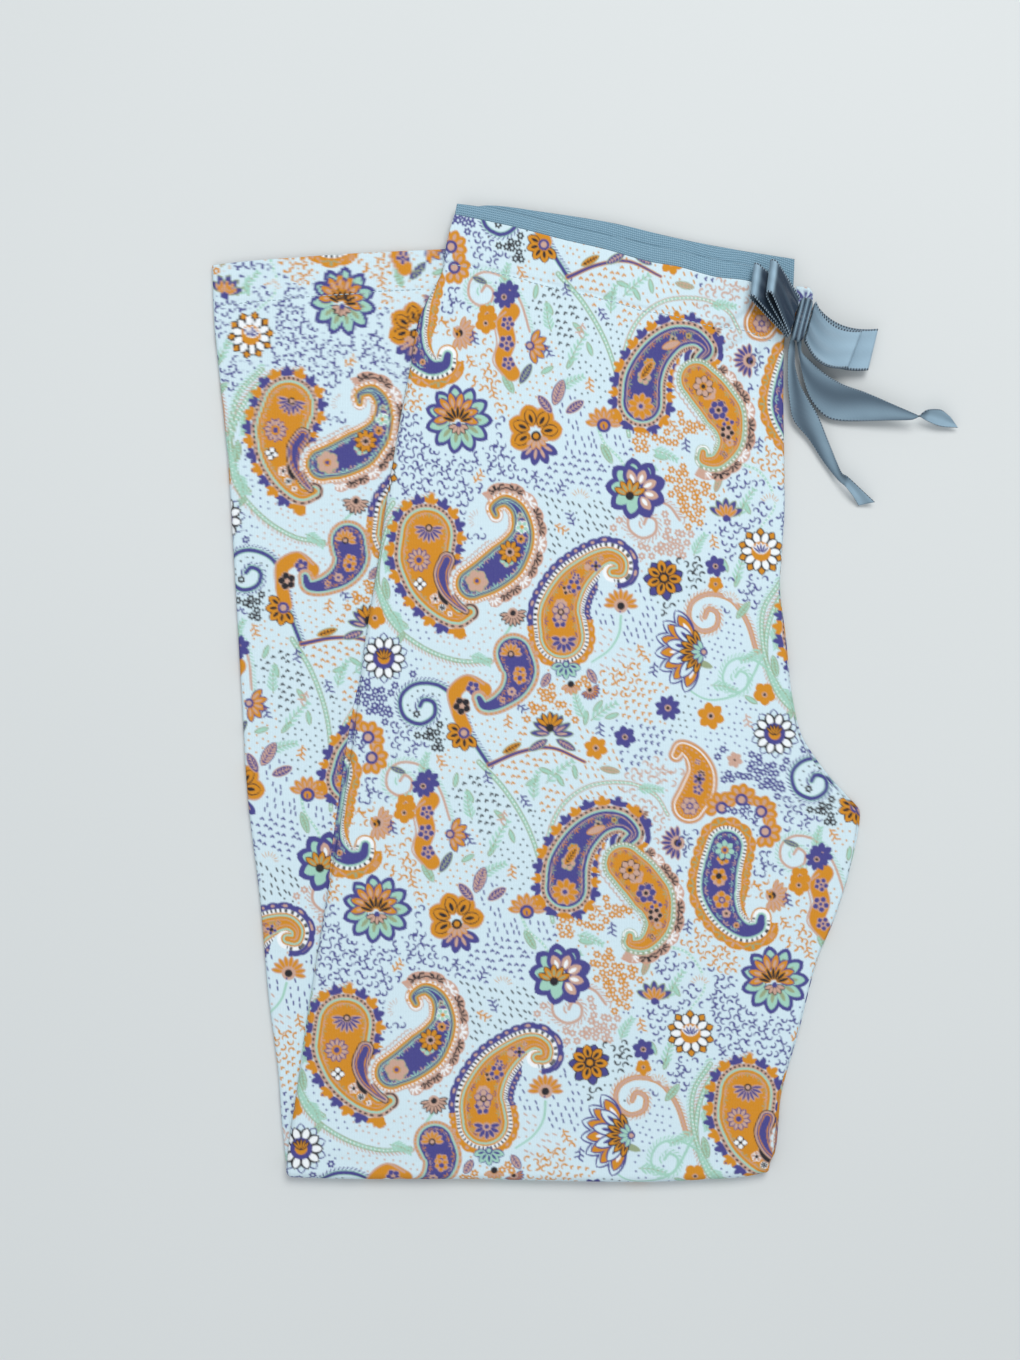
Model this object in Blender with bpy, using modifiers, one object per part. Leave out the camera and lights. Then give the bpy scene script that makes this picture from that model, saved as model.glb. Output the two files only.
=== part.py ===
"""Pyjama bottoms, folded leg on leg and once across the thighs, lying flat with a ribbon bow.

Metres, +Z up, +Y towards the waist. The origin is on the surface the trousers lie on, under the
middle of the whole part. The tables hold millimetres, as seen from straight above.
The top leg's front panel is the upper sheet. It rolls down round the fold across the thighs, and
the other leg's lower half comes back from under it and shows along the left.
"""

import math
from collections import namedtuple

import bpy
import numpy as np
from mathutils import Matrix

MM = 0.001

# Walls, and the gaps that keep the sheets apart
PANEL_WALL = 1.4
LOWER_WALL = 1.2
ELASTIC_WALL = 1.3
RIBBON_WALL = 0.8
LOWER_GAP = 0.35
UNDER_PANEL_GAP = 0.9

# Heights of the folded stack
STACK_TOP = 10.0
LOWER_TOP = 4.5
SIDE_FALL = 3.9
SIDE_FALL_WIDTH = 40.0
SIDE_FALL_START = 4.0
FOLD_FALL_LENGTH = 50.0
WAIST_RISE = 2.6
WAIST_RISE_LENGTH = 34.0

# The fold across the thighs: its height off the surface, and how far the cloth turns round it
FOLD_CLEARANCE = 0.4
FOLD_TURN = math.radians(163)
FOLD_PULL = 6

# Rolled edges: the radius of each, and how far below the waist the left one opens out
LEFT_ROLL = 3.5
WAIST_ROLL = 0.6
RIGHT_ROLL = 2.0
LOWER_ROLL = 2.2
LEFT_ROLL_LENGTH = 45.0

# How far the pieces under the top leg reach in from its edges
LOWER_TUCK = 2.6
BAND_TUCK = 4.4
STEP_INSET = 3.0
STEP_RUN = 1.5
STEP_SHOULDER = 0.9
WAIST_STEP_INSET = 5.0
LOWER_INSET = 2.8
HEM_INSET = 2.0
HEM_ROW = 0.6
SHELF_INSET = 2.5
FOLD_END_INSET = 1.9
RIGHT_SHOULDER = 2.1
RIGHT_SHOULDER_SHARE = 0.014
RIM_OUT = 1.1

# Depths below the stack's top
NEAR_BAND_DEPTH = 2.4
FAR_BAND_DEPTH = 4.05
SHELF_DEPTH = 5.7
CORNER_HEIGHT = 3.4

CLOTH = (0.60, 0.72, 0.78)
ELASTIC = (0.20, 0.33, 0.43)
RIBBON = (0.12, 0.22, 0.34)
CLOTH_ROUGHNESS = 0.85
RIBBON_ROUGHNESS = 0.35

Point = namedtuple("Point", "x y")
Fold = namedtuple("Fold", "x1 y1 x2 y2 height width")
Band = namedtuple("Band", "edge low_left low_right depth")
Loop = namedtuple("Loop", "knot_a knot_b end_a end_b opening bend")
Station = namedtuple("Station", "ax ay az bx by bz")
RimStep = namedtuple("RimStep", "height_share out")


class Edge:
    """A smooth line through points: its x at a height y down the sheet, or its y at an x across."""

    def __init__(self, *points):
        self.start, self.end = points[0], points[-1]
        self.x = np.array([point.x for point in points])
        self.y = np.array([point.y for point in points])

    def x_at(self, y):
        return smooth(self.y, self.x, y)

    def y_at(self, x):
        return smooth(self.x, self.y, x)


def smooth(known, values, at):
    """Values read at `at` from a monotone cubic through the known points."""
    if known[0] > known[-1]:
        known, values = known[::-1], values[::-1]
    step = np.diff(known)
    slope = np.diff(values) / step
    tangent = np.concatenate([[slope[0]], (slope[:-1] + slope[1:]) / 2, [slope[-1]]])
    tangent[1:-1][slope[:-1] * slope[1:] <= 0] = 0
    limit = 3 * np.minimum(np.abs(slope[:-1]), np.abs(slope[1:]))
    tangent[1:-1] = np.clip(tangent[1:-1], -limit, limit)
    at = np.clip(at, known[0], known[-1])
    i = np.clip(np.searchsorted(known, at) - 1, 0, len(step) - 1)
    t = (at - known[i]) / step[i]
    return (
        values[i] * (1 + 2 * t) * (1 - t) ** 2
        + tangent[i] * step[i] * t * (1 - t) ** 2
        + values[i + 1] * t * t * (3 - 2 * t)
        + tangent[i + 1] * step[i] * t * t * (t - 1)
    )


# The top leg's left edge, from the waist's corner past the casing's pinch down to the fold
PANEL_LEFT = Edge(
    Point(-72.3, 263.6), Point(-77.0, 245.5), Point(-78.7, 233.3), Point(-83.8, 222.9),
    Point(-91.3, 207.5), Point(-96.5, 180.0), Point(-102.6, 148.1), Point(-109.4, 106.9),
    Point(-114.1, 73.3), Point(-121.8, 26.0), Point(-127.3, -19.1), Point(-135.2, -71.9),
    Point(-144.1, -122.5), Point(-153.7, -182.5), Point(-159.0, -221.0), Point(-163.2, -250.1),
    Point(-165.0, -267.2),
)

# Its right edge: centre front, the crotch's curve and corner, then the inseam
PANEL_RIGHT = Edge(
    Point(116.3, 217.9), Point(112.5, 208.0), Point(110.3, 196.0), Point(109.7, 161.3),
    Point(110.3, 106.3), Point(108.6, 76.0), Point(107.6, 60.0), Point(110.8, 29.3),
    Point(114.1, -3.7), Point(119.1, -25.7), Point(125.7, -36.7), Point(133.9, -47.7),
    Point(143.8, -58.7), Point(150.4, -67.0), Point(149.3, -80.7), Point(144.9, -102.7),
    Point(137.8, -124.7), Point(128.7, -146.7), Point(116.9, -190.7), Point(107.0, -223.7),
    Point(105.0, -242.0), Point(103.6, -256.7), Point(101.5, -264.4),
)

# The cloth's top edge at the waist, and the outer line of the fold across the thighs
WAIST = Edge(
    Point(-72.3, 263.6), Point(-40.4, 257.0), Point(-10.2, 249.3), Point(10.2, 244.6),
    Point(34.9, 237.7), Point(51.4, 235.0), Point(71.8, 229.5), Point(89.4, 227.3),
    Point(116.3, 217.9),
)
FOLD = Edge(
    Point(-165.0, -267.2), Point(-119.6, -268.3), Point(-69.0, -268.3), Point(-14.0, -269.4),
    Point(30.0, -269.9), Point(65.2, -268.6), Point(86.1, -267.2), Point(101.5, -264.4),
)

# The lower leg that comes back from under the fold: left edge, hem, and hidden right edge
LOWER_LEFT = Edge(
    Point(-206.5, 236.9), Point(-205.4, 205.3), Point(-202.7, 177.8), Point(-197.7, 128.3),
    Point(-194.4, 73.3), Point(-190.0, -3.7), Point(-186.7, -58.7), Point(-180.1, -113.7),
    Point(-175.2, -168.7), Point(-169.9, -209.9), Point(-168.0, -235.8), Point(-165.8, -259.0),
)
HEM = Edge(
    Point(-206.5, 236.9), Point(-187.8, 239.0), Point(-173.0, 240.2), Point(-124.0, 243.6),
    Point(-77.0, 245.8),
)
LOWER_RIGHT = Edge(Point(32.7, 249.5), Point(101.5, -264.4))

# How far the second layer shows past the top leg's right edge, as x
RIGHT_PEEK = Edge(
    Point(0.0, 240.0), Point(0.3, 120.0), Point(0.8, 0.0), Point(1.7, -35.0), Point(1.9, -66.0),
    Point(0.6, -100.0), Point(0.8, -190.0), Point(1.5, -245.0), Point(0.5, -264.0),
)

# The elastic's two bands above the cloth
BANDS = {
    "waist_elastic_near": Band(
        Edge(
            Point(-70.7, 269.9), Point(-54.2, 267.6), Point(8.0, 253.5), Point(63.0, 241.4),
            Point(113.0, 231.5),
        ),
        -73.0, 112.0, NEAR_BAND_DEPTH,
    ),
    "waist_elastic_far": Band(
        Edge(
            Point(-59.0, 268.8), Point(-54.2, 269.3), Point(-23.9, 265.8), Point(17.3, 259.2),
            Point(37.7, 254.3), Point(78.9, 246.0), Point(115.8, 240.0),
        ),
        -58.0, 114.8, FAR_BAND_DEPTH,
    ),
}

# The corner of the other front that shows past the bow
OTHER_FRONT = [
    Point(116.2, 225.4), Point(124.0, 224.6), Point(126.2, 221.3), Point(125.7, 210.5),
    Point(116.2, 206.5),
]

# Soft folds in the top leg: a pinch at the casing, tucks, pleats under the bow, drag lines
PANEL_FOLDS = [
    Fold(-77.0, 210.0, -58.0, 228.0, 1.3, 4.0),
    Fold(-47.0, 250.0, -55.0, 232.0, 0.8, 3.0),
    Fold(-10.0, 247.0, -16.0, 232.0, 0.8, 3.0),
    Fold(18.0, 238.0, 18.0, 218.0, 0.7, 3.0),
    Fold(90.0, 207.0, 66.0, 190.0, 1.5, 6.0),
    Fold(99.0, 200.0, 84.0, 178.0, 1.6, 5.0),
    Fold(104.0, 170.0, 92.0, 120.0, 0.8, 7.0),
    Fold(-88.0, 190.0, -60.0, 150.0, 0.7, 8.0),
    Fold(118.0, -60.0, 60.0, -30.0, 0.8, 10.0),
]

# The bow's knot: a strip wrapped round its middle
KNOT_CENTRE = (118.6, 205.0, 13.0)
KNOT_SIZE = (8.0, 25.0, 9.2)
KNOT_TURN = math.radians(-15)
KNOT_ROUND = 2.2
KNOT_HALF_GAP = 0.9

# The bow's loops: edge a is the one nearer the waist, and each runs from the knot to its end
BOW_LOOPS = {
    "bow_loop_left_lower": Loop(
        knot_a=(116.9, 216.8, 10.4), knot_b=(111.2, 195.5, 10.2),
        end_a=(92.8, 236.2, 12.0), end_b=(89.6, 216.4, 20.5), opening=2.0, bend=(0, 0, 0),
    ),
    "bow_loop_left_upper": Loop(
        knot_a=(116.7, 216.9, 14.4), knot_b=(111.0, 195.6, 14.9),
        end_a=(101.6, 237.2, 16.5), end_b=(98.0, 217.2, 27.0), opening=2.3, bend=(0, 0, 0),
    ),
    "bow_loop_right_lower": Loop(
        knot_a=(125.8, 214.5, 10.8), knot_b=(120.1, 193.2, 10.8),
        end_a=(161.4, 201.0, 6.8), end_b=(156.0, 178.4, 6.0), opening=1.3, bend=(-3, -5, 0),
    ),
    "bow_loop_right_upper": Loop(
        knot_a=(125.8, 214.5, 14.6), knot_b=(120.1, 193.2, 14.6),
        end_a=(151.4, 199.0, 12.6), end_b=(143.6, 178.6, 12.0), opening=1.3, bend=(-3, -5, 0.6),
    ),
}

# The bow's tails, as pairs of points on the ribbon's two edges
BOW_TAILS = {
    "bow_tail_right": [
        Station(119.4, 197.0, 7.55, 116.6, 193.2, 7.55),
        Station(119.0, 189.6, 8.0, 118.2, 184.4, 7.6),
        Station(125.0, 182.0, 9.2, 120.8, 171.8, 7.4),
        Station(133.9, 174.5, 9.6, 126.0, 160.2, 5.0),
        Station(143.0, 169.5, 9.8, 136.4, 151.5, 4.2),
        Station(153.7, 165.7, 10.2, 151.5, 150.3, 5.4),
        Station(167.0, 159.8, 10.8, 166.0, 150.4, 7.4),
        Station(181.2, 153.6, 10.6, 179.5, 150.6, 8.6),
        Station(187.5, 150.8, 7.0, 187.8, 155.6, 11.6),
        Station(197.0, 147.5, 4.4, 195.0, 156.2, 9.6),
        Station(206.5, 147.0, 3.4, 201.5, 152.6, 6.2),
    ],
    "bow_tail_down": [
        Station(113.6, 197.6, 7.55, 115.6, 193.4, 7.55),
        Station(112.0, 188.0, 6.8, 115.4, 183.0, 8.6),
        Station(111.8, 174.5, 6.4, 117.8, 171.0, 9.8),
        Station(112.8, 161.0, 6.2, 122.6, 161.4, 10.6),
        Station(115.2, 150.9, 5.0, 128.2, 152.4, 9.6),
        Station(124.0, 140.4, 3.8, 133.5, 140.4, 7.4),
        Station(131.5, 129.0, 3.4, 138.0, 129.6, 6.8),
        Station(139.5, 118.5, 4.4, 141.2, 121.4, 8.6),
        Station(143.8, 114.2, 5.8, 144.2, 119.2, 9.8),
        Station(148.0, 109.0, 5.0, 151.8, 112.6, 8.2),
        Station(151.6, 104.2, 1.6, 160.3, 105.8, 4.0),
    ],
}

# How the edges of the hidden layers stand out and in, from the top of the stack to the surface
STACK_RIM = [
    RimStep(0.88, 0.8), RimStep(0.70, 1.0), RimStep(0.66, 0.2), RimStep(0.61, 1.1),
    RimStep(0.38, 1.1), RimStep(0.34, 0.2), RimStep(0.29, 1.0), RimStep(0.0, 0.4),
]

# Mesh density
PANEL_COLUMNS = 13
PANEL_EDGE_SHARES = (0.0, 0.00175, 0.0056, 0.0126)
PANEL_ROWS = 38
PANEL_ROW_SPREAD = 1.15
FOLD_ROWS = 7
LOWER_EDGE_SHARES = (0.0, 0.0032, 0.01, 0.02)
LOWER_COLUMNS = 6
LOWER_ROWS = 26
STACK_LOW_COLUMNS = 6
STACK_HIGH_COLUMNS = 14
STACK_ROWS = 26
STACK_ROW_SPREAD = 1.1
BAND_COLUMNS = 14
LOOP_STEPS = 8
LOOP_TURN_STEPS = 7
TAIL_STEPS = 22
RIBBON_STRIPS = 2


def lerp(a, b, t):
    return a * (1 - t) + b * t


def ease(x):
    x = np.clip(x, 0, 1)
    return x * x * (3 - 2 * x)


def ridge(fold, x, y):
    """A soft ridge along a line, fading to nothing past both ends."""
    dx, dy = fold.x2 - fold.x1, fold.y2 - fold.y1
    length = math.hypot(dx, dy)
    along = ((x - fold.x1) * dx + (y - fold.y1) * dy) / length
    beside = ((x - fold.x1) * dy - (y - fold.y1) * dx) / length
    past = np.maximum(0, np.maximum(-along, along - length))
    return fold.height * np.exp(-(beside**2 + past**2) / fold.width**2)


def stack_height(x, y):
    """The stack's top before its edges roll: lower past the leg under it, higher at the casing."""
    past_leg = x - LOWER_RIGHT.x_at(y)
    above_fold = y - FOLD.end.y
    below_waist = WAIST.y_at(x) - y
    fall = ease((past_leg + SIDE_FALL_START) / SIDE_FALL_WIDTH) * ease(above_fold / FOLD_FALL_LENGTH)
    rise = ease(1 - below_waist / WAIST_RISE_LENGTH) * ease(past_leg / SIDE_FALL_WIDTH)
    return STACK_TOP - SIDE_FALL * fall + WAIST_RISE * rise


def roll(distance, radius):
    """How far a sheet has dropped at this distance from its rolled edge: a quarter circle."""
    inside = np.clip(1 - distance / radius, 0, 1)
    return radius * (1 - np.sqrt(1 - inside**2))


def material(name, colour, roughness):
    made = bpy.data.materials.new(name)
    made.use_nodes = True
    shader = made.node_tree.nodes["Principled BSDF"]
    shader.inputs["Base Color"].default_value = (*colour, 1)
    shader.inputs["Roughness"].default_value = roughness
    shader.inputs["Metallic"].default_value = 0.0
    return made


def add_mesh(name, points, faces, look, collection):
    """An object from points in millimetres. `look` is its colour and roughness."""
    mesh = bpy.data.meshes.new(name)
    mesh.from_pydata((points * MM).tolist(), [], faces)
    mesh.shade_smooth()
    obj = bpy.data.objects.new(name, mesh)
    obj.data.materials.append(material(name, *look))
    collection.objects.link(obj)
    return obj


def grid_faces(rows, columns):
    """A grid's point numbers and its quads, facing up where rows run down and columns right."""
    index = np.arange(rows * columns).reshape(rows, columns)
    corners = [index[:-1, :-1], index[1:, :-1], index[1:, 1:], index[:-1, 1:]]
    return index, np.stack(corners, axis=-1).reshape(-1, 4).tolist()


def add_sheet(name, rows, wall, offset, look, collection):
    """A sheet of cloth from a grid of points. Offset -1 adds its wall below, 0 on both sides."""
    faces = grid_faces(*rows.shape[:2])[1]
    obj = add_mesh(name, rows.reshape(-1, 3), faces, look, collection)
    solidify = obj.modifiers.new("wall", "SOLIDIFY")
    solidify.thickness = wall * MM
    solidify.offset = offset


def add_slab(name, top, look, collection):
    """A closed solid from its top surface: the layers' rim round it and a flat underside."""
    index, faces = grid_faces(*top.shape[:2])
    upper = np.concatenate([index[0, :-1], index[:-1, -1], index[-1, :0:-1], index[:0:-1, 0]])
    points = top.reshape(-1, 3)
    edge = points[upper]
    along = np.roll(edge, -1, axis=0)[:, :2] - np.roll(edge, 1, axis=0)[:, :2]
    outward = np.stack([-along[:, 1], along[:, 0]], axis=1)
    outward /= np.linalg.norm(outward, axis=1)[:, None]
    for step in STACK_RIM:
        lower = np.arange(len(edge)) + len(points)
        ring = np.column_stack([edge[:, :2] + outward * step.out, edge[:, 2] * step.height_share])
        points = np.concatenate([points, ring])
        faces += np.stack([upper, np.roll(upper, -1), np.roll(lower, -1), lower], axis=-1).tolist()
        upper = lower
    faces.append(upper.tolist())
    add_mesh(name, points, faces, look, collection)


def top_leg_front_panel(collection):
    """The upper sheet: its long edges rolled down, and its lower end turned round the fold."""
    near = np.array(PANEL_EDGE_SHARES)
    across = np.concatenate([near[:-1], np.linspace(near[-1], 1 - near[-1], PANEL_COLUMNS), 1 - near[-2::-1]])
    down = (np.linspace(0, 1, PANEL_ROWS) ** PANEL_ROW_SPREAD)[:, None]
    left_y = lerp(PANEL_LEFT.start.y, PANEL_LEFT.end.y, down)
    right_y = lerp(PANEL_RIGHT.start.y, PANEL_RIGHT.end.y, down)
    x = lerp(PANEL_LEFT.x_at(left_y), PANEL_RIGHT.x_at(right_y), across)
    y = lerp(left_y, right_y, across)
    y = y + (WAIST.y_at(x[0]) - y[0]) * (1 - down) + (FOLD.y_at(x[-1]) - y[-1]) * down

    left_roll = lerp(WAIST_ROLL, LEFT_ROLL, ease((PANEL_LEFT.start.y - left_y) / LEFT_ROLL_LENGTH))
    drop = roll(x - x[:, :1], left_roll) + roll(x[:, -1:] - x, RIGHT_ROLL)
    z = stack_height(x, y) + sum(ridge(fold, x, y) for fold in PANEL_FOLDS)
    radius = (z[-1] - FOLD_CLEARANCE) / 2
    y = y + radius * down**FOLD_PULL

    rows = [np.stack([x, y, z - drop], axis=-1)]
    reach = radius - drop[-1]
    for turn in np.linspace(0, FOLD_TURN, FOLD_ROWS + 1)[1:]:
        turned_y = y[-1] - reach * math.sin(turn)
        turned_z = z[-1] - radius + reach * math.cos(turn)
        rows.append(np.stack([x[-1], turned_y, turned_z], axis=-1)[None])
    look = (CLOTH, CLOTH_ROUGHNESS)
    add_sheet("top_leg_front_panel", np.concatenate(rows), PANEL_WALL, -1, look, collection)


def under_leg_front_panel(collection):
    """The lower leg that shows along the left, from its rolled edge to just under the top leg."""
    across = np.concatenate([LOWER_EDGE_SHARES, np.linspace(0.05, 1, LOWER_COLUMNS)])
    down = np.linspace(0, 1, LOWER_ROWS)[:, None]
    left_y = lerp(LOWER_LEFT.start.y, LOWER_LEFT.end.y, down)
    right_y = lerp(HEM.end.y, LOWER_LEFT.end.y, down)
    x = lerp(LOWER_LEFT.x_at(left_y), PANEL_LEFT.x_at(right_y) + LOWER_TUCK, across)
    y = lerp(left_y, right_y, across)
    y = y + (HEM.y_at(x[0]) - y[0]) * (1 - down)
    z = LOWER_TOP - roll(x - x[:, :1], LOWER_ROLL)
    look = (CLOTH, CLOTH_ROUGHNESS)
    add_sheet("under_leg_front_panel", np.stack([x, y, z], axis=-1), LOWER_WALL, -1, look, collection)


def hidden_layers(collection):
    """All that the folds hide, as one solid: low under the lower leg, a step up under the top leg,
    and a shelf under the elastic."""
    down = (np.linspace(0, 1, STACK_ROWS) ** STACK_ROW_SPREAD)[:, None]
    fold_inset = STACK_TOP / 2 + FOLD_END_INSET
    end_y = FOLD.start.y + fold_inset

    across = np.linspace(0, 1, STACK_LOW_COLUMNS)
    left_y = lerp(LOWER_LEFT.start.y - HEM_INSET, end_y, down)
    right_y = lerp(HEM.end.y - HEM_INSET, end_y, down)
    low_x = lerp(LOWER_LEFT.x_at(left_y) + LOWER_INSET, PANEL_LEFT.x_at(right_y) + STEP_INSET, across)
    low_y = lerp(left_y, right_y, across)
    low_y = low_y + (HEM.y_at(low_x[0]) - HEM_INSET - 2 * HEM_ROW - low_y[0]) * (1 - down)
    low_z = np.full_like(low_x, LOWER_TOP - LOWER_WALL - LOWER_GAP)

    across = np.linspace(0, 1, STACK_HIGH_COLUMNS)
    across = np.insert(across, -1, 1 - RIGHT_SHOULDER_SHARE)
    left_y = lerp(PANEL_LEFT.start.y - WAIST_STEP_INSET, end_y, down)
    right_y = lerp(PANEL_RIGHT.start.y - WAIST_STEP_INSET, end_y, down)
    right_x = PANEL_RIGHT.x_at(right_y) + RIGHT_PEEK.x_at(right_y) - RIM_OUT
    high_x = lerp(PANEL_LEFT.x_at(left_y) + STEP_INSET + STEP_RUN, right_x, across)
    high_y = lerp(left_y, right_y, across)
    waist_y = WAIST.y_at(high_x[0])
    high_y = high_y + (waist_y - WAIST_STEP_INSET - STEP_RUN - high_y[0]) * (1 - down)
    high_y = high_y + (FOLD.y_at(high_x[-1]) + fold_inset - high_y[-1]) * down**FOLD_PULL
    high_z = stack_height(high_x, high_y) - PANEL_WALL - UNDER_PANEL_GAP
    high_z[:, 0] -= STEP_SHOULDER
    high_z[:, -1] -= RIGHT_SHOULDER

    bands_y = np.minimum(*(band.edge.y_at(high_x[0]) for band in BANDS.values()))
    shelf_z = stack_height(high_x[0], waist_y) - SHELF_DEPTH
    low_rows = [low_y[0] + 2 * HEM_ROW, low_y[0] + HEM_ROW, *low_y]
    high_rows = [bands_y - SHELF_INSET, high_y[0] + STEP_RUN, *high_y]
    x = np.hstack([low_x[[0, 0, *range(STACK_ROWS)]], high_x[[0, 0, *range(STACK_ROWS)]]])
    y = np.hstack([low_rows, high_rows])
    z = np.hstack([low_z[[0, 0, *range(STACK_ROWS)]], np.vstack([shelf_z, shelf_z, high_z])])
    add_slab("hidden_layers", np.stack([x, y, z], axis=-1), (CLOTH, CLOTH_ROUGHNESS), collection)


def elastic_band(name, band, collection):
    """A flat band that shows above the waist and runs on just under the cloth's edge."""
    across = np.linspace(0, 1, BAND_COLUMNS)
    top_x = lerp(band.edge.start.x, band.edge.end.x, across)
    low_x = lerp(band.low_left, band.low_right, across)
    low_y = WAIST.y_at(low_x) - BAND_TUCK
    share = np.linspace(0, 1, 3)[:, None]
    x = lerp(top_x, low_x, share)
    y = lerp(band.edge.y_at(top_x), low_y, share)
    z = stack_height(x, low_y + 0 * x) - band.depth
    look = (ELASTIC, CLOTH_ROUGHNESS)
    add_sheet(name, np.stack([x, y, z], axis=-1), ELASTIC_WALL, -1, look, collection)


def other_front_waist_corner(collection):
    """The small corner of the other front past the bow, one layer down: an extruded outline."""
    count = len(OTHER_FRONT)
    heights = (CORNER_HEIGHT, CORNER_HEIGHT + LOWER_WALL)
    points = np.array([(point.x, point.y, z) for z in heights for point in OTHER_FRONT])
    faces = [list(range(count)), list(range(2 * count - 1, count - 1, -1))]
    faces += [[i + count, (i + 1) % count + count, (i + 1) % count, i] for i in range(count)]
    look = (CLOTH, CLOTH_ROUGHNESS)
    add_mesh("other_front_waist_corner", points, faces, look, collection)


def ribbon(name, edge_a, edge_b, collection):
    """A ribbon between two edges, with its wall on both sides of them."""
    rows = np.stack([lerp(edge_a, edge_b, t) for t in np.linspace(0, 1, RIBBON_STRIPS + 1)], axis=1)
    add_sheet(name, rows, RIBBON_WALL, 0, (RIBBON, RIBBON_ROUGHNESS), collection)


def bow_loop(name, loop, collection):
    """A ribbon loop: out from the knot, round its rounded end and back on top of itself."""
    knot_a, knot_b, end_a, end_b, bend = (
        np.array(p, float) for p in (loop.knot_a, loop.knot_b, loop.end_a, loop.end_b, loop.bend)
    )
    run = (end_a + end_b - knot_a - knot_b) / 2
    up = np.cross(run, (knot_b - knot_a) + (end_b - end_a))
    up /= math.copysign(np.linalg.norm(up), up[2])
    turn_start = 1 - loop.opening / np.linalg.norm(run)
    out = np.linspace(0, turn_start, LOOP_STEPS)[:-1]
    half_gap = lerp(KNOT_HALF_GAP, loop.opening, ease(out / turn_start))
    turn = np.linspace(-math.pi / 2, math.pi / 2, LOOP_TURN_STEPS)
    share = np.concatenate([out, lerp(turn_start, 1, np.cos(turn)), out[::-1]])[:, None]
    height = np.concatenate([-half_gap, loop.opening * np.sin(turn), half_gap[::-1]])[:, None]
    shift = bend * 4 * share * (1 - share) + up * height
    ribbon(name, lerp(knot_a, end_a, share) + shift, lerp(knot_b, end_b, share) + shift, collection)


def bow_tail(name, stations, collection):
    """A ribbon tail, smooth from each pair of edge points to the next."""
    known = np.arange(len(stations))
    at = np.linspace(0, known[-1], TAIL_STEPS)
    read = np.stack([smooth(known, values, at) for values in np.array(stations).T], axis=1)
    ribbon(name, read[:, :3], read[:, 3:], collection)


def bow_knot(collection):
    """The strip wrapped round the middle of the bow: a block with well rounded edges."""
    bpy.ops.mesh.primitive_cube_add(size=1)
    obj = bpy.context.object
    obj.name = "bow_knot"
    obj.data.transform(Matrix.Diagonal((*KNOT_SIZE, 1 / MM)) * MM)
    obj.data.shade_smooth()
    obj.data.materials.append(material("bow_knot", RIBBON, RIBBON_ROUGHNESS))
    obj.rotation_euler.z = KNOT_TURN
    obj.location = [value * MM for value in KNOT_CENTRE]
    bevel = obj.modifiers.new("round", "BEVEL")
    bevel.width = KNOT_ROUND * MM
    bevel.segments = 3
    for owner in obj.users_collection[:]:
        owner.objects.unlink(obj)
    collection.objects.link(obj)


def main():
    for obj in list(bpy.data.objects):
        bpy.data.objects.remove(obj)
    parts = bpy.data.collections.new("folded_pyjama_bottoms")
    bpy.context.scene.collection.children.link(parts)
    hidden_layers(parts)
    under_leg_front_panel(parts)
    for name, band in BANDS.items():
        elastic_band(name, band, parts)
    other_front_waist_corner(parts)
    top_leg_front_panel(parts)
    for name, loop in BOW_LOOPS.items():
        bow_loop(name, loop, parts)
    bow_knot(parts)
    for name, stations in BOW_TAILS.items():
        bow_tail(name, stations, parts)


main()
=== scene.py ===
"""The dressed pyjama bottoms: printed jersey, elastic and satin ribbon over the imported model.

Metres, in the model's own frame. The tables hold millimetres, as seen from straight above.
Every surface is a grid of points worked out with numpy, and its docstring gives the formula.
The print is this script's own drawing: one repeat is painted on a swatch that stays in memory,
and each point of the cloth reads its colour there.
"""

import math
from collections import namedtuple

import bpy
import bmesh
import numpy as np
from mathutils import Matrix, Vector


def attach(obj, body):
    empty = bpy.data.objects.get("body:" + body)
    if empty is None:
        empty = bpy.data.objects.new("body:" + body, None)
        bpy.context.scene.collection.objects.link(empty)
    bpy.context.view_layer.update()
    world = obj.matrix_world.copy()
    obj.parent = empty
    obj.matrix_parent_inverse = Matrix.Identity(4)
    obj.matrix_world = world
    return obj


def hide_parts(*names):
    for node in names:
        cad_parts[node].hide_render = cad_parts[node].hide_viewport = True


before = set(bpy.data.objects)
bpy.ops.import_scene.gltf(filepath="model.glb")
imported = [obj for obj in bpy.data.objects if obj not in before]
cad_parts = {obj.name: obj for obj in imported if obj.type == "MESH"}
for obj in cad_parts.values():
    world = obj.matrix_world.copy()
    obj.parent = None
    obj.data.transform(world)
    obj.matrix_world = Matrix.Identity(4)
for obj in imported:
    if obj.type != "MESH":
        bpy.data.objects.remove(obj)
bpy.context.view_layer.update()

MM = 0.001

Point = namedtuple("Point", "x y")
Fold = namedtuple("Fold", "x1 y1 x2 y2 height width")
Band = namedtuple("Band", "edge low_left low_right depth")
Loop = namedtuple("Loop", "knot_a knot_b end_a end_b opening bend")
Station = namedtuple("Station", "ax ay az bx by bz")
Lie = namedtuple("Lie", "x y board_x board_y turn")


class Edge:
    """A smooth line through (x, y) points: its x at a height y down the sheet, or its y at an x."""

    def __init__(self, *points):
        self.start, self.end = Point(*points[0]), Point(*points[-1])
        self.x, self.y = np.array(points, float).T

    def x_at(self, y):
        return smooth(self.y, self.x, y)

    def y_at(self, x):
        return smooth(self.x, self.y, x)


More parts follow.
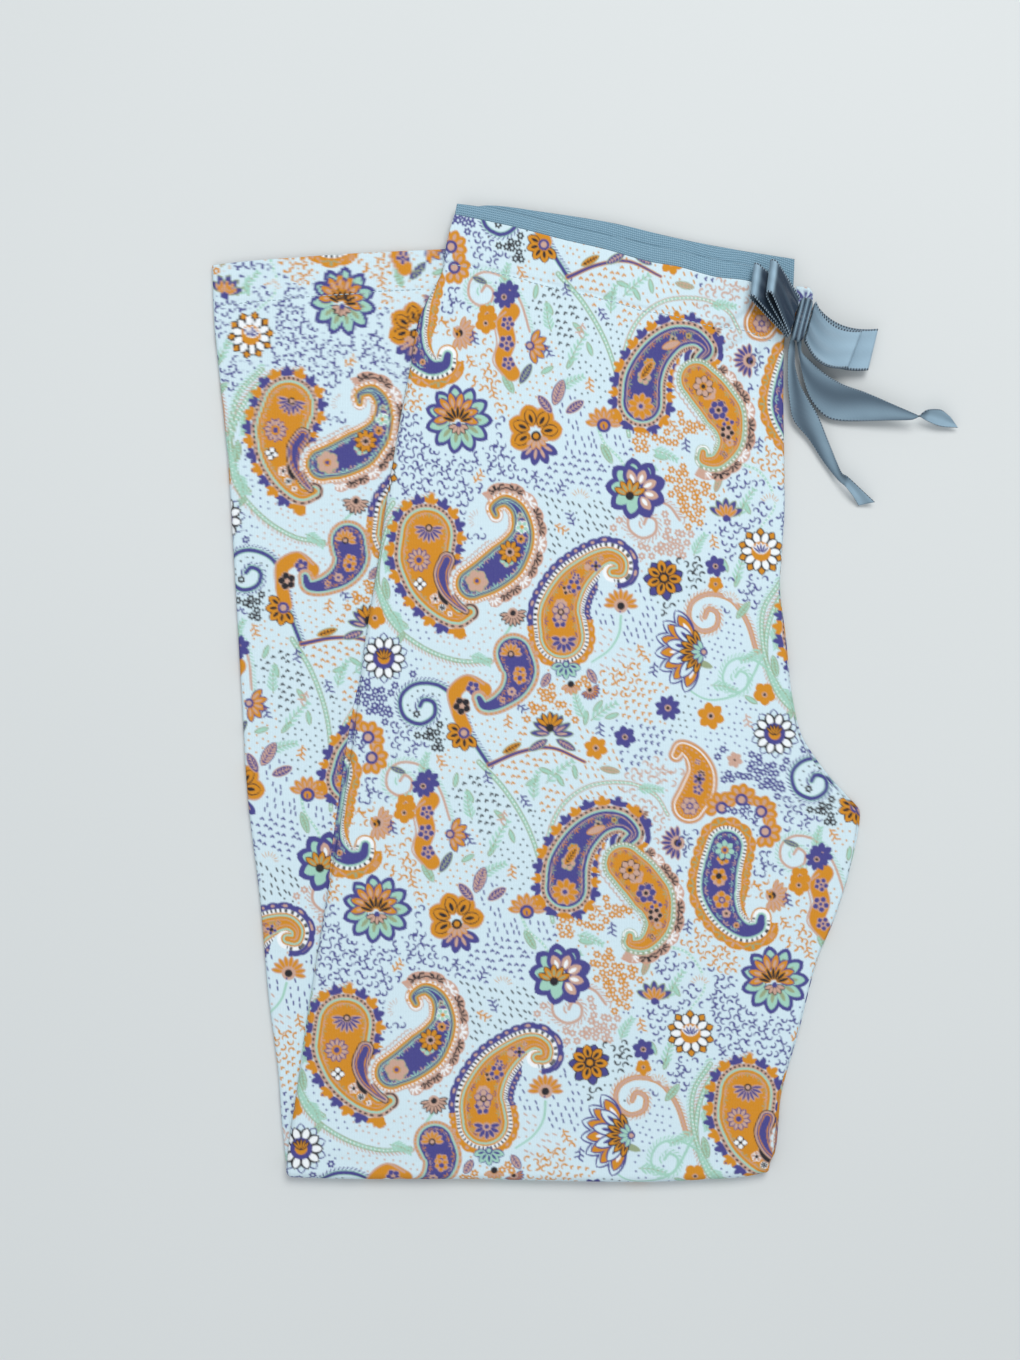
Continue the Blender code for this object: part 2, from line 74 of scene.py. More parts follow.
def smooth(known, values, at):
    """Values read at `at` from a monotone cubic through the known points."""
    if known[0] > known[-1]:
        known, values = known[::-1], values[::-1]
    step = np.diff(known)
    slope = np.diff(values) / step
    tangent = np.concatenate([[slope[0]], (slope[:-1] + slope[1:]) / 2, [slope[-1]]])
    tangent[1:-1][slope[:-1] * slope[1:] <= 0] = 0
    limit = 3 * np.minimum(np.abs(slope[:-1]), np.abs(slope[1:]))
    tangent[1:-1] = np.clip(tangent[1:-1], -limit, limit)
    at = np.clip(at, known[0], known[-1])
    i = np.clip(np.searchsorted(known, at) - 1, 0, len(step) - 1)
    t = (at - known[i]) / step[i]
    return (
        values[i] * (1 + 2 * t) * (1 - t) ** 2
        + tangent[i] * step[i] * t * (1 - t) ** 2
        + values[i + 1] * t * t * (3 - 2 * t)
        + tangent[i + 1] * step[i] * t * t * (t - 1)
    )


# Heights of the folded stack, and the walls and gaps that the model's solids keep
STACK_TOP = 10.0
LOWER_TOP = 4.5
SIDE_FALL = 3.9
SIDE_FALL_WIDTH = 40.0
SIDE_FALL_START = 4.0
FOLD_FALL_LENGTH = 50.0
WAIST_RISE = 2.6
WAIST_RISE_LENGTH = 34.0
UNDER_TOP = 1.5
NEAR_BAND_DEPTH = 2.2
FAR_BAND_DEPTH = 3.9
SHELF_DEPTH = 5.7
CORNER_TOP = 4.6

# The fold across the thighs: its height off the surface, and how far the cloth turns round it
FOLD_CLEARANCE = 0.4
FOLD_TURN = math.radians(163)
FOLD_PULL = 6

# Rolled edges: each radius, and how far the cloth turns under
LEFT_ROLL = 3.5
LEFT_WAIST_ROLL = 0.6
LEFT_ROLL_LENGTH = 45.0
RIGHT_ROLL = 2.0
LOWER_ROLL = 2.2
HEM_ROLL = 0.8
WAIST_EDGE_ROLL = 0.7
LEFT_TURN = math.radians(115)
RIGHT_TURN = math.radians(120)
FOLD_END_TURN = math.radians(80)
LOWER_TURN = math.radians(150)
EDGE_TURN = math.radians(120)

# How far the pieces under the top leg reach in from its edges
LOWER_TUCK = 2.6
BAND_TUCK = 4.4
LOWER_INSET = 2.8
HEM_INSET = 2.0
STEP_INSET = 4.2
WAIST_STEP_INSET = 5.0
FOLD_END_INSET = 1.9
RIM_OUT = 1.1

# Mesh density: rows run down the cloth, columns across it
PANEL_ROWS = 780
PANEL_COLUMNS = 380
PANEL_STRIPS = 4
LEFT_ARC = 13
RIGHT_ARC = 10
EDGE_ARC = 5
FOLD_ROWS = 24
LOWER_ROWS = 760
LOWER_COLUMNS = 86
LOWER_ARC = 9
BETWEEN_ROWS = 190
BAND_ROWS = 26
BAND_COLUMNS = 200
LOOP_RUN_ROWS = 40
LOOP_TURN_ROWS = 22
TAIL_ROWS = 90
KNOT_AROUND = 96
KNOT_ACROSS = 33
CORNER_SIDE = 12
STITCH_LINE = 160
# The top leg's left edge, from the waist's corner past the casing's pinch down to the fold
PANEL_LEFT = Edge(
    (-72.3, 263.6), (-77.0, 245.5), (-78.7, 233.3), (-83.8, 222.9), (-91.3, 207.5),
    (-96.5, 180.0), (-102.6, 148.1), (-109.4, 106.9), (-114.1, 73.3), (-121.8, 26.0),
    (-127.3, -19.1), (-135.2, -71.9), (-144.1, -122.5), (-153.7, -182.5), (-159.0, -221.0),
    (-163.2, -250.1), (-165.0, -267.2),
)

# Its right edge: centre front, the crotch's curve and corner, then the inseam
PANEL_RIGHT = Edge(
    (116.3, 217.9), (112.5, 208.0), (110.3, 196.0), (109.7, 161.3), (110.3, 106.3),
    (108.6, 76.0), (107.6, 60.0), (110.8, 29.3), (114.1, -3.7), (119.1, -25.7), (125.7, -36.7),
    (133.9, -47.7), (143.8, -58.7), (150.4, -67.0), (149.3, -80.7), (144.9, -102.7),
    (137.8, -124.7), (128.7, -146.7), (116.9, -190.7), (107.0, -223.7), (105.0, -242.0),
    (103.6, -256.7), (101.5, -264.4),
)

# The cloth's top edge at the waist, and the outer line of the fold across the thighs
WAIST = Edge(
    (-72.3, 263.6), (-40.4, 257.0), (-10.2, 249.3), (10.2, 244.6), (34.9, 237.7),
    (51.4, 235.0), (71.8, 229.5), (89.4, 227.3), (116.3, 217.9),
)
FOLD = Edge(
    (-165.0, -267.2), (-119.6, -268.3), (-69.0, -268.3), (-14.0, -269.4), (30.0, -269.9),
    (65.2, -268.6), (86.1, -267.2), (101.5, -264.4),
)

# The lower leg that comes back from under the fold: left edge, hem, and hidden right edge
LOWER_LEFT = Edge(
    (-206.5, 236.9), (-205.4, 205.3), (-202.7, 177.8), (-197.7, 128.3), (-194.4, 73.3),
    (-190.0, -3.7), (-186.7, -58.7), (-180.1, -113.7), (-175.2, -168.7), (-169.9, -209.9),
    (-168.0, -235.8), (-165.8, -259.0),
)
HEM = Edge((-206.5, 236.9), (-187.8, 239.0), (-173.0, 240.2), (-124.0, 243.6), (-77.0, 245.8))
LOWER_RIGHT = Edge((32.7, 249.5), (101.5, -264.4))

# How far the second layer shows past the top leg's right edge, as x
RIGHT_PEEK = Edge(
    (0.0, 240.0), (0.3, 120.0), (0.8, 0.0), (1.7, -35.0), (1.9, -66.0), (0.6, -100.0),
    (0.8, -190.0), (1.5, -245.0), (0.5, -264.0),
)

# The elastic's two bands above the cloth
BANDS = {
    "waist_elastic_near": Band(
        Edge(
            (-70.7, 269.9), (-54.2, 267.6), (8.0, 253.5), (63.0, 241.4), (113.0, 231.5),
        ),
        -73.0, 112.0, NEAR_BAND_DEPTH,
    ),
    "waist_elastic_far": Band(
        Edge(
            (-59.0, 268.8), (-54.2, 269.3), (-23.9, 265.8), (17.3, 259.2), (37.7, 254.3),
            (78.9, 246.0), (115.8, 240.0),
        ),
        -58.0, 114.8, FAR_BAND_DEPTH,
    ),
}

# The corner of the other front that shows past the bow
OTHER_FRONT = [(116.2, 225.4), (124.0, 224.6), (126.2, 221.3), (125.7, 210.5), (116.2, 206.5)]

# Soft folds in the top leg: a pinch at the casing, tucks, pleats under the bow, drag lines
PANEL_FOLDS = [
    Fold(-77.0, 210.0, -58.0, 228.0, 1.3, 4.0),
    Fold(-47.0, 250.0, -55.0, 232.0, 0.8, 3.0),
    Fold(-10.0, 247.0, -16.0, 232.0, 0.8, 3.0),
    Fold(18.0, 238.0, 18.0, 218.0, 0.7, 3.0),
    Fold(90.0, 207.0, 66.0, 190.0, 1.5, 6.0),
    Fold(99.0, 200.0, 84.0, 178.0, 1.6, 5.0),
    Fold(104.0, 170.0, 92.0, 120.0, 0.8, 7.0),
    Fold(-88.0, 190.0, -60.0, 150.0, 0.7, 8.0),
    Fold(118.0, -60.0, 60.0, -30.0, 0.8, 10.0),
]

# The bow's loops: edge a is the one nearer the waist, and each runs from the knot to its end
BOW_LOOPS = {
    "bow_loop_left_lower": Loop(
        knot_a=(116.9, 216.8, 10.4), knot_b=(111.2, 195.5, 10.2),
        end_a=(92.8, 236.2, 12.0), end_b=(89.6, 216.4, 20.5), opening=2.0, bend=(0, 0, 0),
    ),
    "bow_loop_left_upper": Loop(
        knot_a=(116.7, 216.9, 14.4), knot_b=(111.0, 195.6, 14.9),
        end_a=(101.6, 237.2, 16.5), end_b=(98.0, 217.2, 27.0), opening=2.3, bend=(0, 0, 0),
    ),
    "bow_loop_right_lower": Loop(
        knot_a=(125.8, 214.5, 10.8), knot_b=(120.1, 193.2, 10.8),
        end_a=(161.4, 201.0, 6.8), end_b=(156.0, 178.4, 6.0), opening=1.3, bend=(-3, -5, 0),
    ),
    "bow_loop_right_upper": Loop(
        knot_a=(125.8, 214.5, 14.6), knot_b=(120.1, 193.2, 14.6),
        end_a=(151.4, 199.0, 12.6), end_b=(143.6, 178.6, 12.0), opening=1.3, bend=(-3, -5, 0.6),
    ),
}

# The bow's tails, as pairs of points on the ribbon's two edges
BOW_TAILS = {
    "bow_tail_right": [
        Station(119.4, 197.0, 7.55, 116.6, 193.2, 7.55),
        Station(119.0, 189.6, 8.0, 118.2, 184.4, 7.6),
        Station(125.0, 182.0, 9.2, 120.8, 171.8, 7.4),
        Station(133.9, 174.5, 9.6, 126.0, 160.2, 5.0),
        Station(143.0, 169.5, 9.8, 136.4, 151.5, 4.2),
        Station(153.7, 165.7, 10.2, 151.5, 150.3, 5.4),
        Station(167.0, 159.8, 10.8, 166.0, 150.4, 7.4),
        Station(181.2, 153.6, 10.6, 179.5, 150.6, 8.6),
        Station(187.5, 150.8, 7.0, 187.8, 155.6, 11.6),
        Station(197.0, 147.5, 4.4, 195.0, 156.2, 9.6),
        Station(206.5, 147.0, 3.4, 201.5, 152.6, 6.2),
    ],
    "bow_tail_down": [
        Station(113.6, 197.6, 7.55, 115.6, 193.4, 7.55),
        Station(112.0, 188.0, 6.8, 115.4, 183.0, 8.6),
        Station(111.8, 174.5, 6.4, 117.8, 171.0, 9.8),
        Station(112.8, 161.0, 6.2, 122.6, 161.4, 10.6),
        Station(115.2, 150.9, 5.0, 128.2, 152.4, 9.6),
        Station(124.0, 140.4, 3.8, 133.5, 140.4, 7.4),
        Station(131.5, 129.0, 3.4, 138.0, 129.6, 6.8),
        Station(139.5, 118.5, 4.4, 141.2, 121.4, 8.6),
        Station(143.8, 114.2, 5.8, 144.2, 119.2, 9.8),
        Station(148.0, 109.0, 5.0, 151.8, 112.6, 8.2),
        Station(151.6, 104.2, 1.6, 160.3, 105.8, 4.0),
    ],
}

# The bow's knot: a strip wrapped round its middle
KNOT_CENTRE = (118.6, 205.0, 13.0)
KNOT_SIZE = (8.0, 25.0, 9.2)
KNOT_TURN = math.radians(-15)


# Fine creases of the top leg's cloth, and of the lower leg's; a height below 0 is a trough
CREASES = [
    Fold(-47.0, 251.0, -54.0, 234.0, -0.90, 1.6),
    Fold(-10.0, 249.0, -15.0, 236.0, -0.90, 1.6),
    Fold(18.0, 235.0, 18.0, 220.0, -0.90, 1.6),
    Fold(-77.0, 210.0, -58.0, 227.0, -1.20, 1.8),
    Fold(-70.0, 204.0, -52.0, 216.0, 0.75, 3.0),
    Fold(97.0, 216.0, 70.0, 195.0, -1.35, 2.0),
    Fold(92.0, 196.0, 68.0, 184.0, -1.20, 2.2),
    Fold(86.0, 212.0, 60.0, 202.0, 1.05, 4.0),
    Fold(104.0, 150.0, 96.0, 60.0, 0.75, 6.0),
    Fold(-100.0, 120.0, -78.0, 60.0, 0.60, 7.0),
    Fold(-112.0, 20.0, -90.0, -70.0, 0.60, 9.0),
    Fold(-60.0, -80.0, 40.0, -110.0, 0.52, 14.0),
    Fold(120.0, -70.0, 70.0, -58.0, -0.60, 5.0),
    Fold(-140.0, -255.0, 90.0, -252.0, 0.45, 5.0),
]

LOWER_CREASES = [
    Fold(-196.0, 200.0, -140.0, 186.0, 0.3, 6.0),
    Fold(-190.0, 90.0, -150.0, 60.0, 0.3, 7.0),
    Fold(-183.0, -40.0, -150.0, -70.0, 0.3, 7.0),
    Fold(-150.0, 150.0, -128.0, 60.0, 0.25, 7.0),
]

# The layer between the legs that shows left of the top leg: how far it stands out, by height
BETWEEN_PEEK = Edge(
    (-1.0, 16.0), (1.0, 4.0), (2.6, -12.0), (3.2, -40.0), (3.0, -68.0), (2.0, -92.0),
    (-1.0, -112.0),
)
BETWEEN_TOP = 5.6

# The casing's and the hem's rows of stitches, below their edges
CASING = 26.5
HEM_DEPTH = 22.0
STITCH_PITCH = 3.1
STITCH_LENGTH = 2.3
STITCH_GIRTH = 0.55

# The hidden layers' rims, as (top, bottom) shares of the height and how far each stands out
RIM_LAYERS = [(0.97, 0.70, 1.4), (0.70, 0.46, 1.0), (0.46, 0.22, 1.5), (0.22, 0.0, 1.0)]
RIM_STEPS = 6
STACK_ROWS = 420
STACK_LOW_COLUMNS = 6
STACK_HIGH_COLUMNS = 12
RIBBON_COLUMNS = 32
RIBBON_WIDTH = 0.025

# How the cloth lies under the print: where one repeat starts, and how far its grain is turned
UPPER_LIE = Lie(-88.3, 73.3, 425, 560, 0)
LOWER_LIE = Lie(-168.0, 144.8, 425, 560, 12)

# Knit, and the colours that stay the same all over a piece
WALE = 0.0009
COURSE = 0.0007
RIB_PITCH = 0.00125
RIB_THREAD = 0.0011
WEFT_PITCH = 0.0007
PICOT_PITCH = 0.0016
PICOT_START = 0.0114
PICOT_DARK = (0.02, 0.035, 0.06, 1)
PICOT_PALE = (0.28, 0.38, 0.46, 1)
WORN_TINT = (0.55, 0.62, 0.66, 1)
KNIT_SHADE = (0.25, 0.3, 0.34, 1)
THREAD_DARK = (0.20, 0.30, 0.36, 1)
THREAD_PALE = (0.50, 0.62, 0.68, 1)
ELASTIC_DARK = (0.10, 0.22, 0.31, 1)
ELASTIC_PALE = (0.38, 0.59, 0.74, 1)
# These two are the satin's painted light and shade: its colour turned from the lamp, and facing it
SATIN_IN_SHADE = (0.012, 0.026, 0.05)
SATIN_IN_LIGHT = (0.36, 0.53, 0.66)
SATIN_SHADE = (0.05, 0.09, 0.14, 1)
FLOOR_DARK = (0.62, 0.655, 0.665, 1)
FLOOR_PALE = (0.65, 0.685, 0.695, 1)

# The camera's place straight above, in metres; the floor's reach and depth, in millimetres
CAMERA_X = -0.0415
CAMERA_Y = 0.0073
CAMERA_HEIGHT = 1.049
FLOOR_REACH = 2600
FLOOR_DEPTH = 0.02


# The print's own drawing board: 1 unit is 0.55 mm of cloth, y runs down. One repeat is a
# rectangle whose sides lie along these two steps.
BOARD = 0.55
REPEAT_ACROSS = np.array([394.0, 66.0]) * BOARD
REPEAT_ALONG = np.array([-82.0, 490.0]) * BOARD
SWATCH_CELL = 0.42
UP = -math.pi / 2

# How the folded cloth lies a little askew: from its first repeat's corner, the steps to the
# next repeat across and down, and how much the one changes along the other
SKEW_START = np.array([425.0, 560.0])
SKEW_ACROSS = np.array([389.0, 78.0])
SKEW_ALONG = np.array([-82.0, 490.0])
SKEW_CHANGE = np.array([13.0, -9.0])


def dyed(red, green, blue):
    """A dye's colour, from the usual screen numbers to the light that the shader works in."""
    share = np.array([red, green, blue]) / 255
    return tuple(np.where(share <= 0.04045, share / 12.92, ((share + 0.055) / 1.055) ** 2.4))


GROUND = dyed(208, 230, 240)
WHITE = dyed(240, 246, 250)
ORANGE = dyed(208, 138, 24)
VIOLET = dyed(70, 68, 138)
TAN = dyed(200, 163, 146)
MINT = dyed(160, 207, 190)
OLIVE = dyed(150, 165, 130)
BLACK = dyed(34, 30, 36)
CORAL = dyed(206, 152, 128)


def fold_back(value, period):
    """How far a value is from the nearest whole number of periods."""
    return (value / period + 0.5) % 1.0 * period - 0.5 * period


def straightened(x, y):
    """Places on the cloth as it lies, on the board in millimetres, with its skew taken out: the
    repeat's two counts u, v where place = start + u across + v along + u v change."""
    offset = np.stack([x, y], -1) - SKEW_START
    to_counts = np.linalg.inv(np.stack([SKEW_ACROSS, SKEW_ALONG]))
    counts = offset @ to_counts
    for _ in range(4):
        counts = (offset - (counts[..., :1] * counts[..., 1:]) * SKEW_CHANGE) @ to_counts
    return SKEW_START * BOARD + counts[..., :1] * REPEAT_ACROSS + counts[..., 1:] * REPEAT_ALONG


def on_board(x, y):
    return straightened(np.asarray(x, float), np.asarray(y, float))


class Swatch:
    """One repeat of the print, on a grid of cells. Its edges wrap round, so that it tiles."""

    def __init__(self):
        self.across, self.along = np.linalg.norm(REPEAT_ACROSS), np.linalg.norm(REPEAT_ALONG)
        self.axes = np.stack([REPEAT_ACROSS / self.across, REPEAT_ALONG / self.along])
        self.columns = int(round(self.across / SWATCH_CELL))
        self.rows = int(round(self.along / SWATCH_CELL))
        self.cell = np.array([self.across / self.columns, self.along / self.rows])
        self.colour = np.empty((self.rows, self.columns, 3), np.float32)
        self.colour[:] = GROUND
        self.room = np.full((self.rows, self.columns), 60.0, np.float32)

    def window(self, centre, reach):
        """The cells round a place: their numbers, and their places from it on the board, in mm."""
        column, row = (self.axes @ np.asarray(centre, float)) / self.cell
        half = int(reach / SWATCH_CELL) + 2
        columns = np.arange(int(column) - half, int(column) + half + 1)
        rows = np.arange(int(row) - half, int(row) + half + 1)
        across = (columns[None, :] + 0.5 - column) * self.cell[0]
        along = (rows[:, None] + 0.5 - row) * self.cell[1]
        x = across * self.axes[0, 0] + along * self.axes[1, 0]
        y = across * self.axes[0, 1] + along * self.axes[1, 1]
        return Patch(self, np.ix_(rows % self.rows, columns % self.columns), x, y)

    def read(self, places):
        """Colours at places in millimetres on the board, blended from the four nearest cells."""
        at = places @ self.axes.T / self.cell - 0.5
        low = np.floor(at).astype(int)
        part = (at - low)[..., None].astype(np.float32)
        c0, r0 = low[..., 0] % self.columns, low[..., 1] % self.rows
        c1, r1 = (c0 + 1) % self.columns, (r0 + 1) % self.rows
        u, v = part[..., 0, :], part[..., 1, :]
        upper = self.colour[r0, c0] * (1 - u) + self.colour[r0, c1] * u
        lower = self.colour[r1, c0] * (1 - u) + self.colour[r1, c1] * u
        return upper * (1 - v) + lower * v


class Patch:
    """Part of the swatch round one motif. Shapes are signed distances, below 0 inside."""

    def __init__(self, swatch, index, x, y):
        self.swatch, self.index, self.x, self.y = swatch, index, x, y

    def ink(self, distance, colour):
        """Lays a dye where the distance is below 0, blended over one cell at its edge."""
        cover = np.clip(0.5 - distance / SWATCH_CELL, 0, 1)[..., None]
        old = self.swatch.colour[self.index]
        self.swatch.colour[self.index] = old + (np.array(colour, np.float32) - old) * cover

    def keep_clear(self, distance):
        """Keeps the filling's marks off the motif: `room` is how far each cell is from one."""
        self.swatch.room[self.index] = np.minimum(self.swatch.room[self.index], distance)

    def turned(self, angle):
        """The places along a way turned by the angle, and across it."""
        cos, sin = math.cos(angle), math.sin(angle)
        return self.x * cos + self.y * sin, self.y * cos - self.x * sin


def drawn_curve(points, samples=80):
    """A smooth curve through points of the board (Catmull-Rom), evenly stepped, and its length."""
    p = on_board(*np.array(points, float).T)
    p = np.concatenate([[2 * p[0] - p[1]], p, [2 * p[-1] - p[-2]]])
    t = np.linspace(0, 1, 20, endpoint=False)[:, None]
    pieces = [
        (2 * b + (c - a) * t + (2 * a - 5 * b + 4 * c - d) * t**2 + (3 * b - a - 3 * c + d) * t**3) / 2
        for a, b, c, d in zip(p[:-3], p[1:-2], p[2:-1], p[3:])
    ]
    line = np.concatenate([*pieces, p[-2][None]])
    run = np.concatenate([[0], np.cumsum(np.linalg.norm(np.diff(line, axis=0), axis=1))])
    at = np.linspace(0, run[-1], samples)
    return np.stack([np.interp(at, run, line[:, 0]), np.interp(at, run, line[:, 1])], 1), run[-1]


def nearest_on(x, y, line, length):
    """For each place: how far along the curve its nearest point is, how far off it is, and on
    which side, 1 or -1."""
    step = length / (len(line) - 1)
    best = np.full(x.shape, 1e9)
    run, side = np.zeros(x.shape), np.zeros(x.shape)
    for number, (start, way) in enumerate(zip(line[:-1], np.diff(line, axis=0) / step)):
        px, py = x - start[0], y - start[1]
        t = np.clip(px * way[0] + py * way[1], 0, step)
        off = (px - t * way[0]) ** 2 + (py - t * way[1]) ** 2
        near = off < best
        best = np.where(near, off, best)
        run = np.where(near, number * step + t, run)
        side = np.where(near, np.sign(way[0] * py - way[1] * px), side)
    return run, np.sqrt(best), side


def petal(u, v, half_width, half_length):
    """A pointed petal's rough distance: half_length along v, half_width across u."""
    v = v / half_length
    w = half_width * np.sqrt(np.clip(1 - v * v, 0, None)) ** 1.3
    return np.where(np.abs(v) < 1, np.abs(u) - w, np.hypot(u, (np.abs(v) - 1) * half_length))


class Paisley:
    """A paisley: a bulb whose width shrinks along a curled spine. `out` is the distance from its
    outline, and `q` runs along the outline, so that borders, dots and fans follow it."""

    def __init__(self, swatch, spine, widths, reach=9.0):
        line, length = drawn_curve(spine)
        centre = (line.min(0) + line.max(0)) / 2
        self.patch = swatch.window(centre, (line.max(0) - line.min(0)).max() / 2 + max(widths) + reach)
        line = line - centre
        run, off, side = nearest_on(self.patch.x, self.patch.y, line, length)
        head = (line[0] - line[1]) / np.linalg.norm(line[0] - line[1])
        hx, hy = self.patch.x - line[0, 0], self.patch.y - line[0, 1]
        back = np.arctan2(head[1] * hx - head[0] * hy, head[0] * hx + head[1] * hy)
        share = np.linspace(0, 1, len(widths))
        self.out = off - smooth(share, np.array(widths, float), run / length)
        round_head = (widths[0] + 1.5) * np.abs(back)
        self.q = np.where(run < 1e-6, round_head, run + (widths[0] + 1.5) * math.pi / 2) * side
        self.run, self.side, self.length = run / length, side, length
        self.swatch, self.spine, self.widths = swatch, line + centre, np.array(widths, float)

    def body(self, colour, grow=0.0):
        self.patch.ink(self.out - grow, colour)

    def line(self, at, width, colour):
        self.patch.ink(np.abs(self.out - at) - width / 2, colour)

    def beads(self, at, spacing, radius, colour):
        """Dots along a line at a distance from the outline."""
        self.patch.ink(np.hypot(fold_back(self.q, spacing), self.out - at) - radius, colour)

    def dashes(self, at, spacing, long, wide, colour):
        """Short bars across such a line."""
        across = np.abs(fold_back(self.q, spacing)) - wide / 2
        self.patch.ink(np.maximum(across, np.abs(self.out - at) - long / 2), colour)

    def scallops(self, at, spacing, radius, fill, rim, where=None):
        """Overlapping discs along such a line, as a scalloped edge."""
        v = self.out - at
        gap = np.hypot(fold_back(self.q, spacing), v) - radius
        gap = np.where(v > -radius * 0.6, gap, 9)
        if where is not None:
            gap = np.where(where, gap, 9)
        self.patch.ink(gap - 0.3, rim)
        self.patch.ink(gap + 0.35, fill)

    def fans(self, at, spacing, size, rays, colours, where=None, inward=False):
        """Fans of short rays along such a line, their colours by turns."""
        u, v = fold_back(self.q, spacing), at - self.out if inward else self.out - at
        number = np.floor(self.q / spacing + 0.5).astype(int) % len(colours)
        pitch = math.radians(150) / rays
        angle = np.arctan2(u, v)
        rho = np.hypot(u, v)
        ray = fold_back(angle + (0 if rays % 2 else pitch / 2), pitch)
        gap = np.maximum(np.abs(ray) * rho - size * 0.09, np.abs(rho - size * 0.6) - size * 0.36)
        gap = np.where((v > -0.2) & (np.abs(angle) < math.radians(78)), gap, 9)
        if where is not None:
            gap = np.where(where, gap, 9)
        for which, colour in enumerate(colours):
            self.patch.ink(np.where(number == which, gap, 9), colour)

    def crowns(self, at, spacing, size, colours, where=None):
        """Groups of three small petals that stand out along such a line."""
        u, v = fold_back(self.q, spacing), self.out - at
        number = np.floor(self.q / spacing + 0.5).astype(int) % len(colours)
        gap = np.full(u.shape, 9.0)
        for turn in (-0.8, 0.0, 0.8):
            cos, sin = math.cos(turn), math.sin(turn)
            p, q = u * cos - v * sin, u * sin + v * cos
            gap = np.minimum(gap, petal(p, q - size / 2, size * 0.24, size * 0.6))
        gap = np.where(v > -0.3, gap, 9)
        if where is not None:
            gap = np.where(where, gap, 9)
        for which, colour in enumerate(colours):
            self.patch.ink(np.where(number == which, gap, 9), colour)

    def clear(self, grow):
        self.patch.keep_clear(self.out - grow)

    def blossoms(self, shares, size, fills, rim, heart):
        """Small blossoms along the spine, sized by the body's width there."""
        for number, share in enumerate(shares):
            index = int(share * (len(self.spine) - 2))
            way = self.spine[index + 1] - self.spine[index]
            width = smooth(np.linspace(0, 1, len(self.widths)), self.widths, np.array([share]))[0]
            turn = math.atan2(way[1], way[0])
            fill = fills[number % len(fills)]
            petals = (5, 7, 4)[number % 3]
            form = width * size, petals, fill, rim, heart, turn, 0.28, 1.0
            flower_at(self.swatch, self.spine[index], *form, edge=0.5)


def flower(swatch, x, y, *form, **more):
    """Petals round a point of the board, as flower_at draws them."""
    flower_at(swatch, on_board(x, y), *form, **more)


def flower_at(swatch, centre, radius, petals, fill, rim, heart=(), turn=0.0, inner=0.25, plump=0.9,
              rib=None, spread=None, edge=0.6):
    """Petals round a place in millimetres: each is a pointed lens turned by the petals' pitch.
    `spread` keeps them to an arc, as on a fan, and `heart` is the colours of its middle."""
    patch = swatch.window(centre, radius + 4)
    rho = np.hypot(patch.x, patch.y)
    angle = fold_back(np.arctan2(patch.y, patch.x) - turn, 2 * math.pi)
    pitch = (spread or 2 * math.pi) / petals
    odd = 0.0 if petals % 2 or spread is None else 0.5
    if spread is None:
        bend = fold_back(angle, pitch)
        shown = np.ones(angle.shape, bool)
    else:
        most = (petals - 1) / 2
        bend = angle - np.clip(np.round(angle / pitch - odd) + odd, -most, most) * pitch
        shown = np.abs(bend) < 1.3
    u, v = rho * np.sin(bend), rho * np.cos(bend)
    start = radius * inner
    half = (radius - start) / 2
    wide = min(radius * 0.72 * math.tan(min(pitch, 1.4) / 2) * plump, half * 1.1)
    gap = np.where(shown, petal(u, v - start - half, wide, half), 9)
    patch.ink(gap - edge / 2, rim)
    patch.ink(gap + edge / 2, fill)
    if rib is not None:
        patch.ink(np.where(shown, petal(u, v - start - half * 0.8, wide * 0.34, half * 0.55), 9), rib)
    for number, colour in enumerate(heart):
        patch.ink(rho - radius * inner * (1.25 - 0.55 * number), colour)
    around = rho - radius - 0.8
    patch.keep_clear(around if spread is None else np.where(np.abs(angle) < spread / 2 + 0.3, around, 9))


def vine(swatch, points, width, colour, taper=0.5, beads=None, edge=None, hairs=None, hair_side=1):
    """A stem along a curve, thinner towards its end, which may carry beads or small hairs."""
    line, length = drawn_curve(points, 70)
    centre = (line.min(0) + line.max(0)) / 2
    patch = swatch.window(centre, (line.max(0) - line.min(0)).max() / 2 + 5)
    run, off, side = nearest_on(patch.x, patch.y, line - centre, length)
    half = width / 2 * (1 - taper * run / length)
    if hairs is not None:
        comb = np.maximum(np.abs(fold_back(run - off * 0.8, 2.0)) - 0.38, np.abs(off - half - 1.2) - 1.0)
        patch.ink(np.where(side == hair_side, comb, 9), hairs)
    if edge is not None:
        patch.ink(off - half - 0.5, edge)
    patch.ink(off - half, colour)
    if beads is not None:
        patch.ink(np.hypot(fold_back(run, 2.3), off) - 0.42, beads)
    patch.keep_clear(off - half - (2.2 if hairs is not None else 0.7))


def leaf(swatch, x, y, length, width, turn, fill, rim, rib=None):
    """A leaf with a rim and slanting ribs. `turn` is the way that it points, in degrees."""
    patch = swatch.window(on_board(x, y), length / 2 + 3)
    v, u = patch.turned(math.radians(turn))
    gap = petal(u, v, width / 2, length / 2)
    patch.ink(gap - 0.25, rim)
    patch.ink(gap + 0.3, fill)
    if rib is not None:
        patch.ink(np.maximum(np.abs(u) - 0.25, np.abs(v) - length * 0.36), rib)
        patch.ink(np.maximum(np.abs(fold_back(v - np.abs(u) * 0.8, 1.9)) - 0.28, gap + 0.8), rib)
    patch.keep_clear(gap - 0.7)


